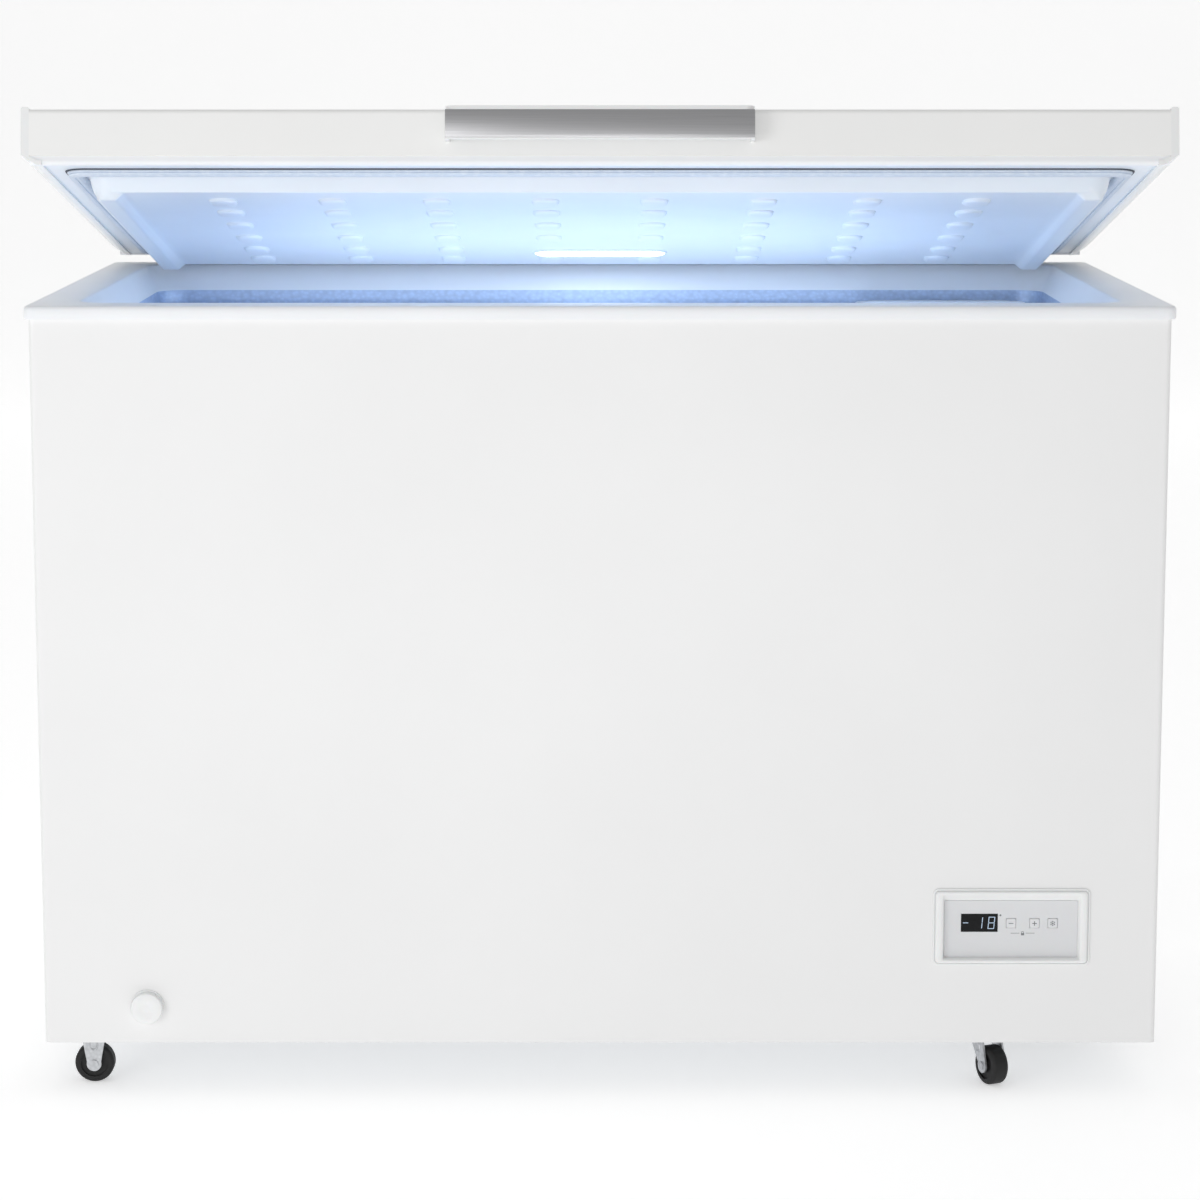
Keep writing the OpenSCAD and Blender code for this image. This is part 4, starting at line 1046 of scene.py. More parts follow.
@dataclass
class LidLining:
    """Vacuum-formed lining of the lid: flange, plug with ridges, and rows of shallow bosses."""

    swing: Swing
    finishes: Finishes
    wall: float = 2.0 * MM
    plug_radius: float = 22.0 * MM
    ridge_width: float = 31.0 * MM
    boss_columns: tuple[float, ...] = (-380, -270, -165, -55, 55, 165, 270, 380)
    boss_rows: tuple[float, ...] = (-216, -136, -44, 54, 147, 225)
    boss_size: tuple[float, float] = (14.0 * MM, 22.0 * MM)
    boss_height: float = 3.0 * MM
    hem: float = 9.0 * MM
    hem_reach: float = 556.5 * MM

    def build(self) -> list[Piece]:
        """Makes the lining and its two hems, and puts them on the lid.

        Returns:
            The pieces.
        """
        low, high = self.swing.shut_box("lid_liner")
        lamp_low, lamp_high = self.swing.shut_box("lamp_lens")
        flange = self.swing.shut_box("lid_gasket")[1].z
        ridge = low.z
        base = ridge + 7.0 * MM
        half_w, half_d = high.x, high.y - self.hem / 2 - MM
        top_w, top_d = 1022.0 * MM, 564.0 * MM
        low_w, low_d, shift = top_w - 16 * MM, top_d - 8 * MM, 1.0 * MM
        lamp = (
            lamp_low.x - 14 * MM,
            lamp_high.x + 14 * MM,
            lamp_low.y - 22 * MM,
            lamp_high.y + 22 * MM,
        )
        bosses = [
            (x * MM, y * MM)
            for x in self.boss_columns
            for y in self.boss_rows
            if not (lamp[0] < x * MM < lamp[1] and lamp[2] < y * MM < lamp[3])
        ]

        def height(x: float, y: float) -> float:
            """Returns how high the lining's face lies at a point."""
            top = outside(x, y, top_w, top_d, self.plug_radius)
            if top >= 0:
                return flange
            foot = outside(x, y - shift, low_w, low_d, self.plug_radius - 4 * MM)
            share = 1.0 if foot <= 0 else -top / (foot - top)
            z = flange - (flange - base) * ease(share)
            if foot < 0:
                side = low_w / 2 - abs(x)
                end = low_d / 2 - abs(y - shift)
                across = ease(side / (4 * MM)) * ease((self.ridge_width - side) / (11 * MM))
                along = ease((end - MM / 2) / (5 * MM))
                z -= (base - ridge) * across * along
            return z

        xs = spread((0, 0.474, 0.0058), (0.474, 0.512, 0.0017), (0.512, half_w, 0.0065))
        ys = spread((0, 0.254, 0.0058), (0.254, 0.284, 0.0017), (0.284, half_d, 0.012))
        face = Bench.grid("lid_lining", xs, ys, height)
        with Bench.editing(face):
            bpy.ops.mesh.select_all(action="SELECT")
            bpy.ops.mesh.flip_normals()
        Bench.modify(face, "SOLIDIFY", thickness=self.wall, offset=-1.0)
        Bench.smooth(face, 50)
        pieces = [face, self.boss_field(bosses, base)]
        for name, side in (("lid_hem_front", -1), ("lid_hem_back", 1)):
            outer = side * high.y
            inner = side * (high.y - self.hem)
            hem = Bench.box(
                name,
                (-self.hem_reach, min(outer, inner), flange - 2 * MM),
                (self.hem_reach, max(outer, inner), flange + 7 * MM),
            )
            with Bench.editing(hem):
                Bench.pick(
                    hem,
                    "EDGE",
                    lambda at, way: abs(way.normalized().x) > 0.9 and at.z < flange,
                )
                bpy.ops.mesh.bevel(offset=4.3 * MM, segments=8, profile=0.5, affect="EDGES")
            pieces.append(Bench.smooth(hem, 40))
        for piece in pieces:
            Bench.turn(piece, self.swing.matrix)
            self.finishes.dress(piece, "lining")
            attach(piece, "lid")
        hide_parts("lid_liner")
        self.finishes.dress(pieces[2], "trim")
        self.finishes.dress(pieces[3], "trim")
        return pieces

    def boss_field(self, places: Sequence[tuple[float, float]], base: float) -> Piece:
        """Makes the shallow domes that stand out of the plug's face.

        Args:
            places: The X and Y of each.
            base: The Z of the face.

        Returns:
            The piece.
        """
        w, d = self.boss_size
        h = self.boss_height
        rows = (
            (0.0, -0.6 * MM),
            (0.0, 0.0),
            (0.9 * MM, 0.5 * h),
            (2.4 * MM, 0.85 * h),
            (4.6 * MM, h),
        )
        rings = [Ring(2 * w - 2 * i, 2 * d - 2 * i, w - i, base - up) for i, up in rows]
        first = Bench.smooth(Bench.loft("boss", rings, 5), 50)
        parts = [Bench.copy(first, f"boss_{n}", (x, y, 0)) for n, (x, y) in enumerate(places[1:])]
        Bench.turn(first, Matrix.Translation((*places[0], 0)))
        for part, (x, y) in zip(parts, places[1:]):
            Bench.turn(part, Matrix.Identity(4))
        return Bench.join("lid_bosses", [first, *parts])


@dataclass
class Gasket:
    """Magnetic gasket round the plug, with a foot held in the flange."""

    swing: Swing
    finishes: Finishes

    def build(self) -> list[Piece]:
        """Makes the gasket and a dark ring at its foot, painted shade that stands for the shadow
        gap between the gasket and the flange.

        Returns:
            The pieces.
        """
        low, high = self.swing.shut_box("lid_gasket")
        w, d = 2 * high.x, 2 * high.y
        size = 14.0 * MM
        profile = (
            (0.0, high.z),
            (0.0, low.z + 2.0 * MM),
            (1.2 * MM, low.z + 0.4 * MM),
            (2.6 * MM, low.z),
            (5.2 * MM, low.z + 0.1 * MM),
            (6.0 * MM, low.z + 1.3 * MM),
            (6.8 * MM, low.z + 0.1 * MM),
            (9.4 * MM, low.z),
            (10.4 * MM, low.z + 1.0 * MM),
            (12.2 * MM, low.z + 1.2 * MM),
            (12.8 * MM, low.z + 2.4 * MM),
            (12.0 * MM, low.z + 3.6 * MM),
            (13.9 * MM, low.z + 4.6 * MM),
            (14.0 * MM, high.z),
        )
        rings = [
            Ring(w - 2 * size + 2 * out, d - 2 * size + 2 * out, 8 * MM + 0.85 * out, z)
            for out, z in profile
        ]
        gasket = Bench.smooth(Bench.loft("lid_gasket_profile", rings, 8, closed=True), 50)
        # painted shade: a thin dark ring at the gasket's foot in place of the shadow gap against
        # the flange
        shade_line_rings = [
            Ring(w + 2 * out, d + 2 * out, 20 * MM + out, high.z - drop)
            for out, drop in (
                (0.1 * MM, -0.2 * MM),
                (0.3 * MM, 1.3 * MM),
                (1.3 * MM, 1.5 * MM),
                (1.9 * MM, 0.6 * MM),
                (1.7 * MM, -0.2 * MM),
            )
        ]
        shade_line = Bench.smooth(Bench.loft("lid_gasket_shade_line", shade_line_rings, 8, closed=True), 60)
        for piece, key in ((gasket, "gasket"), (shade_line, "shade_line")):
            Bench.turn(piece, self.swing.matrix)
            self.finishes.dress(piece, key)
            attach(piece, "lid")
        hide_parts("lid_gasket")
        return [gasket, shade_line]


@dataclass
class Lamp:
    """Pill-shaped lamp in the lining, which lights the tank."""

    swing: Swing
    finishes: Finishes
    power: float = 0.2

    def build(self) -> list[Piece]:
        """Makes the lens, its rim and the light behind it.

        Returns:
            The pieces.
        """
        low, high = self.swing.shut_box("lamp_lens")
        y = (low.y + high.y) / 2
        w, d = high.x - low.x, high.y - low.y
        top = low.z + 3.0 * MM
        lens = Bench.loft(
            "lamp_window",
            [
                Ring(w - 10 * MM, d - 10 * MM, d, top + 1.0 * MM, 0, y),
                Ring(w - 6 * MM, d - 6 * MM, d, top, 0, y),
                Ring(w - 6.5 * MM, d - 6.5 * MM, d, low.z + 1.2 * MM, 0, y),
                Ring(w - 9 * MM, d - 9 * MM, d, low.z + 0.3 * MM, 0, y),
                Ring(w - 16 * MM, d - 16 * MM, d, low.z, 0, y),
            ],
            14,
        )
        rim = Bench.loft(
            "lamp_rim",
            [
                Ring(w, d, d, top + 0.5 * MM, 0, y),
                Ring(w, d, d, top - 0.6 * MM, 0, y),
                Ring(w - 1.2 * MM, d - 1.2 * MM, d, top - 1.5 * MM, 0, y),
                Ring(w - 4.6 * MM, d - 4.6 * MM, d, top - 1.7 * MM, 0, y),
                Ring(w - 6 * MM, d - 6 * MM, d, top - 0.8 * MM, 0, y),
                Ring(w - 6 * MM, d - 6 * MM, d, top + 0.5 * MM, 0, y),
            ],
            14,
            closed=True,
        )
        for piece, key in ((lens, "lamp"), (rim, "lining")):
            Bench.smooth(piece, 40)
            Bench.turn(piece, self.swing.matrix)
            self.finishes.dress(piece, key)
            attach(piece, "lid")
        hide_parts("lamp_lens")
        bpy.ops.object.light_add(type="AREA", location=(0, y, low.z - 2 * MM))
        light = bpy.context.object
        light.name = "lamp_light"
        light.data.shape = "RECTANGLE"
        light.data.size, light.data.size_y = w - 20 * MM, d - 14 * MM
        light.data.energy = self.power
        light.data.color = (0.72, 0.86, 1.0)
        light.matrix_world = self.swing.matrix @ light.matrix_world
        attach(light, "lid")
        return [lens, rim]


@dataclass
class TankGlow:
    """Cool light that the tank throws back at the lid."""

    size: tuple[float, float] = (0.8, 0.36)
    level: float = 0.6
    power: float = 2.0
    tint: Colour = (0.71, 0.84, 1.0)

    def build(self) -> list[bpy.types.Object]:
        """Adds the light.

        Returns:
            The light.
        """
        Bench.clear()
        bpy.ops.object.light_add(
            type="AREA", location=(0, 0, self.level), rotation=(math.pi, 0, 0)
        )
        light = bpy.context.object
        light.name = "tank_glow"
        light.data.shape = "RECTANGLE"
        light.data.size, light.data.size_y = self.size
        light.data.energy = self.power
        light.data.color = self.tint
        light.visible_camera = False
        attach(light, "cabinet")
        return [light]


@dataclass
class Handle:
    """Grip across the lid's front, with a brushed plate on its face."""

    finishes: Finishes

    def build(self) -> list[Piece]:
        """Makes the grip and the plate with rounded edges.

        Returns:
            The pieces.
        """
        grip = Bench.soften(Bench.merged("handle_grip", "lid_grip"), 0.9 * MM, 3, 40)
        plate = Bench.soften(Bench.merged("handle_plate", "lid_grip_plate"), 0.5 * MM, 2, 40)
        for piece, key, slot, node in (
            (grip, "plastic", Slot.PLASTIC, "handle_grip"),
            (plate, "brushed", Slot.SILVER, "handle_plate"),
        ):
            self.finishes.dress(piece, key)
            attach(piece, "lid")
            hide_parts(node)
        return [grip, plate]


# ---------- rim and tank ----------


@dataclass
class RimFrame:
    """Moulded frame round the tank's mouth: rolled skirt, flat rim and sloping inner wall."""

    finishes: Finishes
    flat: float = 46.0 * MM
    mouth_radius: float = 31.0 * MM

    def build(self) -> Piece:
        """Makes the frame.

        Returns:
            The piece.
        """
        low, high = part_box("top_trim")
        shell_low, shell_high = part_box("cabinet_shell")
        w, d, top, foot = 2 * high.x, 2 * high.y, high.z, low.z
        cab_w, cab_d = 2 * shell_high.x + 0.4 * MM, -2 * shell_low.y + 0.4 * MM
        skirt = top - 13 * MM
        mouth_w, mouth_d = 1035 * MM, 585 * MM
        band_w, band_d = 1009 * MM, 559 * MM
        r = self.mouth_radius
        rows = (
            (cab_w, cab_d, 5.2, skirt),
            (w - 1.2 * MM, d - 1.2 * MM, 9.0, skirt),
            (w, d, 9.5, skirt + 1.0 * MM),
            (w, d, 9.5, top - 4.2 * MM),
            (w - 0.7 * MM, d - 0.7 * MM, 9.2, top - 2.4 * MM),
            (w - 2.2 * MM, d - 2.2 * MM, 8.6, top - 1.0 * MM),
            (w - 5.0 * MM, d - 5.0 * MM, 7.4, top - 0.2 * MM),
            (w - 9.0 * MM, d - 9.0 * MM, 6.0, top),
            (mouth_w + 6 * MM, mouth_d + 6 * MM, r / MM + 3.0, top),
            (mouth_w + 2.0 * MM, mouth_d + 2.0 * MM, r / MM + 1.0, top - 0.6 * MM),
            (mouth_w, mouth_d, r / MM, top - 2.0 * MM),
            (band_w + 0.8 * MM, band_d + 0.8 * MM, r / MM + 0.2, foot + 1.2 * MM),
            (band_w, band_d, r / MM, foot),
            (band_w + 5 * MM, band_d + 5 * MM, r / MM + 2.5, foot),
            (mouth_w + 5 * MM, mouth_d + 5 * MM, r / MM + 2.5, top - 3.0 * MM),
            (cab_w, cab_d, 5.2, top - 3.0 * MM),
        )
        rings = [Ring(rw, rd, rr * MM, z) for rw, rd, rr, z in rows]
        piece = Bench.smooth(Bench.loft("rim_frame", rings, 10, closed=True), 40)
        self.finishes.dress(piece, "trim")
        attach(piece, "cabinet")
        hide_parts("top_trim")
        return piece


@dataclass
class Basket:
    """Hanging basket of coated wire, with a thick frame that rests on the tank's ledges."""

    finishes: Finishes
    wire: float = 1.6 * MM
    frame_wire: float = 2.6 * MM
    pitch: float = 24.0 * MM
    bend: float = 12.0 * MM

    def corner_path(
        self, low: Vector, high: Vector, z: float, inset: float
    ) -> list[tuple[float, float, float]]:
        """Returns a level loop with round corners inside the basket's box.

        Args:
            low: The box's lowest corner.
            high: Its highest corner.
            z: The loop's height.
            inset: How far inside the box it runs.
        """
        ring = Ring(
            high.x - low.x - 2 * inset,
            high.y - low.y - 2 * inset,
            self.bend,
            z,
            (low.x + high.x) / 2,
            (low.y + high.y) / 2,
        )
        return [tuple(p) for p in ring.points(5)]

    def build(self) -> Piece:
        """Makes the wires and joins them.

        Returns:
            The piece.
        """
        low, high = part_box("basket")
        reach_low, reach_high = low.y, high.y
        inner = 10.5 * MM
        body_low = Vector((low.x, reach_low + inner, low.z))
        body_high = Vector((high.x, reach_high - inner, high.z))
        r, f = self.wire, self.frame_wire
        top = high.z - f
        parts = [Bench.tube("frame_loop", self.corner_path(body_low, body_high, top, f), f, True)]
        levels = 4
        for i in range(levels):
            z = body_low.z + 2.6 * r + i * (top - body_low.z) / levels
            loop = self.corner_path(body_low, body_high, z, 3.1 * r)
            parts.append(Bench.tube(f"level_{i}", loop, r, True))
        floor = body_low.z + r

        def hoop(
            a: float, b: float, point: Callable[[float, float], tuple[float, float, float]]
        ) -> None:
            """Adds one wire down a side, under the floor and up the other side.

            Args:
                a: Where it starts, across the basket.
                b: Where it ends, across the basket.
                point: Turns a place across and a height into a point.
            """
            path = [(a, top), (a, floor + 3 * r), (a + 0.9 * r, floor + r), (a + 3 * r, floor)]
            path += [(b - 3 * r, floor), (b - 0.9 * r, floor + r), (b, floor + 3 * r), (b, top)]
            parts.append(Bench.tube(f"hoop_{len(parts)}", [point(u, z) for u, z in path], r))

        span_y = body_high.y - body_low.y - 2 * self.bend - 8 * MM
        count = round(span_y / self.pitch)
        for i in range(count + 1):
            y = body_low.y + self.bend + 4 * MM + i * span_y / count
            hoop(body_low.x + r, body_high.x - r, lambda u, z, y=y: (u, y, z))
        span_x = body_high.x - body_low.x - 2 * self.bend - 8 * MM
        count = round(span_x / self.pitch)
        for i in range(count + 1):
            x = body_low.x + self.bend + 4 * MM + i * span_x / count
            hoop(body_low.y + r, body_high.y - r, lambda u, z, x=x: (x, u, z))
        rail_in = 16 * MM
        for side in (-1, 1):
            edge = reach_high - f if side > 0 else reach_low + f
            near = body_high.y - f if side > 0 else body_low.y + f
            a, b = low.x + rail_in, high.x - rail_in
            path = [
                (a, near, top),
                (a, edge - side * 3 * f, top),
                (a + 1.2 * f, edge - side * f, top),
                (a + 3 * f, edge, top),
                (b - 3 * f, edge, top),
                (b - 1.2 * f, edge - side * f, top),
            ]
            path += [(b, edge - side * 3 * f, top), (b, near, top)]
            parts.append(Bench.tube(f"rail_{side}", path, f))
        piece = Bench.join("wire_basket", parts)
        self.finishes.dress(piece, "wire")
        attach(piece, "basket")
        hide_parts("basket")
        return piece


# ---------- control panel ----------


@dataclass
class ControlPanel:
    """Bezel with a dished face, silver fascia, display and three keys."""

    finishes: Finishes
    lean: float = 5.0

    def facing(self) -> Matrix:
        """Returns the turn and move from a panel lying flat to one that faces the front."""
        low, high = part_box("control_bezel")
        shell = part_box("cabinet_shell")[0]
        at = Vector(((low.x + high.x) / 2, shell.y, (low.z + high.z) / 2))
        return Matrix.Translation(at) @ Matrix.Rotation(math.radians(90), 4, "X")

    def build(self) -> list[Piece]:
        """Makes the bezel, the printed marks, the digits and the keys.

        Returns:
            The pieces.
        """
        return [self.bezel(), *self.marks(), self.digits(), *self.keys()]

    def bezel(self) -> Piece:
        """Makes the bezel as a ring with a rounded ridge and a dish.

        Returns:
            The piece.
        """
        low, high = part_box("control_bezel")
        w, h = (high.x - low.x) / MM, (high.z - low.z) / MM
        fascia_low, fascia_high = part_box("control_fascia")
        fw = (fascia_high.x - fascia_low.x) / MM
        fh = (fascia_high.z - fascia_low.z) / MM
        drop = ((fascia_low.z + fascia_high.z) - (low.z + high.z)) / 2 / MM
        rows = (
            (w - 0.6, h - 0.6, 5.7, -0.4, 0),
            (w, h, 6.0, 0.3, 0),
            (w, h, 6.0, 1.1, 0),
            (w - 0.8, h - 0.8, 5.6, 1.7, 0),
            (w - 2.8, h - 2.8, 4.8, 1.8, 0),
            (w - 3.2, h - 3.2, 4.6, 0.5, 0),
            (w - 4.6, h - 4.6, 4.2, 0.5, 0),
            (w - 5.0, h - 5.0, 4.0, 2.1, 0),
            (w - 7.0, h - 6.4, 3.0, 3.1, 0),
            (w - 9.5, h - 8.0, 2.8, 3.5, 0),
            (w - 15.0, h - 9.8, 2.4, 3.5, 0),
            (w - 18.5, h - 11.2, 2.0, 3.1, 0),
            (w - 20.4, h - 12.4, 1.6, 2.4, 0),
            (fw + 1.2, fh + 2.4, 1.2, -3.0, drop * 0.86),
            (fw + 0.2, fh + 0.4, 0.9, -4.2, drop),
            (fw + 0.2, fh + 0.4, 0.9, -6.0, drop),
            (w - 17.0, h - 8.4, 1.0, -6.0, 0),
            (w - 17.0, h - 8.4, 1.0, -0.4, 0),
        )
        rings = [Ring(rw * MM, rh * MM, rr * MM, z * MM, 0, y * MM) for rw, rh, rr, z, y in rows]
        piece = Bench.smooth(Bench.loft("panel_bezel", rings, 6, closed=True), 40)
        Bench.turn(piece, self.facing())
        self.finishes.dress(piece, "plastic")
        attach(piece, "cabinet")
        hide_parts("control_bezel")
        return piece

    def flat(
        self, name: str, outline: Sequence[tuple[float, float]], x: float, y: float, z: float
    ) -> Piece:
        """Raises a thin printed shape from the panel.

        Args:
            name: The piece's name.
            outline: Its corners in millimetres, anticlockwise.
            x: The X of its middle.
            y: The Y of the face that it stands on.
            z: The Z of its middle.

        Returns:
            The piece.
        """
        Bench.clear()
        bpy.ops.mesh.primitive_circle_add(vertices=len(outline), radius=1.0, fill_type="NGON")
        piece = Bench.named(name)
        for vert, (u, v) in zip(piece.data.vertices, outline):
            vert.co = (x + u * MM, y, z + v * MM)
        with Bench.editing(piece):
            bpy.ops.mesh.select_all(action="SELECT")
            bpy.ops.mesh.extrude_region_move(TRANSFORM_OT_translate={"value": (0, -0.12 * MM, 0)})
            bpy.ops.mesh.select_all(action="SELECT")
            bpy.ops.mesh.normals_make_consistent(inside=False)
        return piece

    def bar(
        self, name: str, ends: Sequence[float], width: float, x: float, y: float, z: float
    ) -> Piece:
        """Raises a thin printed line between two points.

        Args:
            name: The piece's name.
            ends: Its ends' X and Z in millimetres, from the middle.
            width: Its width in millimetres.
            x: The X of the middle.
            y: The Y of the face that it stands on.
            z: The Z of the middle.

        Returns:
            The piece.
        """
        ax, az, bx, bz = ends
        way = Vector((bx - ax, bz - az)).normalized() * width / 2
        side = Vector((-way.y, way.x))
        a, b = Vector((ax, az)) - way, Vector((bx, bz)) + way
        corners = [a - side, b - side, b + side, a + side]
        return self.flat(name, [tuple(c) for c in corners], x, y, z)

    def marks(self) -> list[Piece]:
        """Makes the bracket under the keys and its padlock.

        Returns:
            The pieces.
        """
        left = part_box("button_minus")
        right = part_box("button_plus")
        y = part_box("control_fascia")[0].y
        x0, x1 = (left[0].x + left[1].x) / 2, (right[0].x + right[1].x) / 2
        mid, span = (x0 + x1) / 2, (x1 - x0) / 2 / MM
        z = left[0].z - 4.0 * MM
        line, gap = 0.45, 3.4
        lock = [(-1.6, -1.2), (1.6, -1.2), (1.6, 1.2), (-1.6, 1.2)]
        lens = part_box("display_lens")[1]
        ring = [(math.cos(i * math.pi / 6), math.sin(i * math.pi / 6)) for i in range(12)]
        parts = [
            self.flat("mark_degree", ring, lens.x + 2.6 * MM, y, lens.z - 1.6 * MM),
            self.bar("mark_a", (-span, 0, -gap, 0), line, mid, y, z),
            self.bar("mark_b", (gap, 0, span, 0), line, mid, y, z),
            self.flat("mark_lock", lock, mid, y, z - MM),
            self.bar("mark_d", (-0.95, 1.3, -0.95, 2.3), 0.5, mid, y, z - MM),
            self.bar("mark_e", (-0.6, 2.8, 0.6, 2.8), 0.5, mid, y, z - MM),
            self.bar("mark_f", (0.95, 1.3, 0.95, 2.3), 0.5, mid, y, z - MM),
        ]
        piece = Bench.join("panel_marks", parts)
        self.finishes.dress(piece, "print")
        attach(piece, "cabinet")
        return [piece]

    def digits(self) -> Piece:
        """Makes the lit figures, which lean a little.

        Returns:
            The piece.
        """
        low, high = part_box("display_lens")
        y = low.y - 0.02 * MM
        z = (low.z + high.z) / 2
        w, h, t = 7.0, 13.0, 1.2
        slope = math.tan(math.radians(self.lean))
        strokes = {
            "A": (-w / 2 + t / 2, h / 2 - t / 2, w / 2 - t / 2, h / 2 - t / 2),
            "B": (w / 2 - t / 2, h / 2 - t, w / 2 - t / 2, t * 0.55),
            "C": (w / 2 - t / 2, -t * 0.55, w / 2 - t / 2, -h / 2 + t),
            "D": (-w / 2 + t / 2, -h / 2 + t / 2, w / 2 - t / 2, -h / 2 + t / 2),
            "E": (-w / 2 + t / 2, -t * 0.55, -w / 2 + t / 2, -h / 2 + t),
            "F": (-w / 2 + t / 2, h / 2 - t, -w / 2 + t / 2, t * 0.55),
            "G": (-w / 2 + t, 0, w / 2 - t, 0),
        }
        parts = []
        for right, lit in ((-32.4, "G"), (-18.6, "BC"), (-6.4, "ABCDEFG")):
            x = high.x + right * MM
            for key in lit:
                ax, az, bx, bz = strokes[key]
                ends = (ax + az * slope, az, bx + bz * slope, bz)
                parts.append(self.bar(f"stroke_{len(parts)}", ends, t * 0.58, x, y, z))
        piece = Bench.join("lit_figures", parts)
        self.finishes.dress(piece, "digits")
        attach(piece, "cabinet")
        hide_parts("display_digits")
        return piece

    def keys(self) -> list[Piece]:
        """Makes the three key caps, each with its mark.

        Returns:
            The pieces.
        """
        pieces = []
        for node in ("button_minus", "button_plus", "button_boost"):
            low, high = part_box(node)
            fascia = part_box("control_fascia")[0].y
            x, z = (low.x + high.x) / 2, (low.z + high.z) / 2
            size = (high.x - low.x) / MM - 3.0
            out = (fascia - low.y) / MM
            rows = (
                (size + 3.0, 1.2, -3.0),
                (size + 3.0, 1.2, -2.6),
                (size, 1.2, -2.5),
                (size, 1.2, out - 0.55),
                (size - 0.4, 1.1, out - 0.2),
                (size - 1.3, 0.9, out - 0.02),
                (size - 3.0, 0.8, out - 0.12),
            )
            cap = Bench.loft(
                f"{node}_cap", [Ring(s * MM, s * MM, r * MM, o * MM) for s, r, o in rows], 4
            )
            Bench.smooth(cap, 35)
            at = Matrix.Translation((x, fascia, z)) @ Matrix.Rotation(math.radians(90), 4, "X")
            Bench.turn(cap, at)
            face = low.y + 0.13 * MM
            if node == "button_minus":
                parts = [self.bar("m", (-1.9, 0, 1.9, 0), 0.8, x, face, z)]
            elif node == "button_plus":
                parts = [
                    self.bar("p", (-1.9, 0, 1.9, 0), 0.8, x, face, z),
                    self.bar("q", (0, -1.9, 0, 1.9), 0.8, x, face, z),
                ]
            else:
                parts = []
                for i in range(3):
                    a = math.radians(60 * i + 30)
                    c, s = 2.5 * math.cos(a), 2.5 * math.sin(a)
                    parts.append(self.bar(f"s{i}", (-c, -s, c, s), 0.42, x, face, z))
                for i in range(6):
                    a = math.radians(60 * i + 30)
                    for off in (-0.62, 0.62):
                        tip = (2.35 * math.cos(a + off * 0.45), 2.35 * math.sin(a + off * 0.45))
                        root = (1.5 * math.cos(a), 1.5 * math.sin(a))
                        parts.append(self.bar(f"t{i}{off}", (*root, *tip), 0.34, x, face, z))
            mark = Bench.join(f"{node}_mark", parts)
            for piece, key in ((cap, "keys"), (mark, "print")):
                self.finishes.dress(piece, key)
                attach(piece, node)
            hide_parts(node)
            pieces += [cap, mark]
        return pieces


# ---------- drain ----------


@dataclass
class DrainCap:
    """Turning cap of the drain, with fine ribs round its edge."""

    finishes: Finishes
    notches: int = 24

    def build(self) -> Piece:
        """Makes the cap.

        Returns:
            The piece.
        """
        low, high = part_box("drain_cap")
        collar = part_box("drain_channel")[0].y
        x, z = (low.x + high.x) / 2, (low.z + high.z) / 2
        r = (high.x - low.x) / 2
        front = -(low.y - collar)
        rows = (
            (7.0 * MM, -8.0 * MM),
            (7.0 * MM, 0.2 * MM),
            (r - 0.8 * MM, 0.3 * MM),
            (r, 1.2 * MM),
            (r, front - 2.4 * MM),
            (r - 0.7 * MM, front - 0.9 * MM),
            (r - 2.2 * MM, front - 0.3 * MM),
            (r - 5.0 * MM, front - 0.05 * MM),
            (r - 9.0 * MM, front),
            (r - 10.0 * MM, front - 0.3 * MM),
            (r - 13.0 * MM, front - 0.4 * MM),
        )
        rings = [Ring(2 * a, 2 * a, a, b) for a, b in rows]
        cap = Bench.smooth(Bench.loft("drain_knob", rings, 10), 40)
        parts = [cap]
        for i in range(self.notches):
            rib = Bench.box(
                f"rib_{i}", (r - 0.5 * MM, -0.5 * MM, 1.4 * MM), (r, 0.5 * MM, front - 2.6 * MM)
            )
            Bench.soften(rib, 0.2 * MM, 1, 30)
            parts.append(Bench.turn(rib, Matrix.Rotation(2 * math.pi * i / self.notches, 4, "Z")))
        piece = Bench.join("drain_turn_cap", parts)
        Bench.turn(
            piece, Matrix.Translation((x, collar, z)) @ Matrix.Rotation(math.radians(90), 4, "X")
        )
        self.finishes.dress(piece, "plastic")
        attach(piece, "drain_cap")
        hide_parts("drain_cap")
        return piece


# ---------- casters ----------


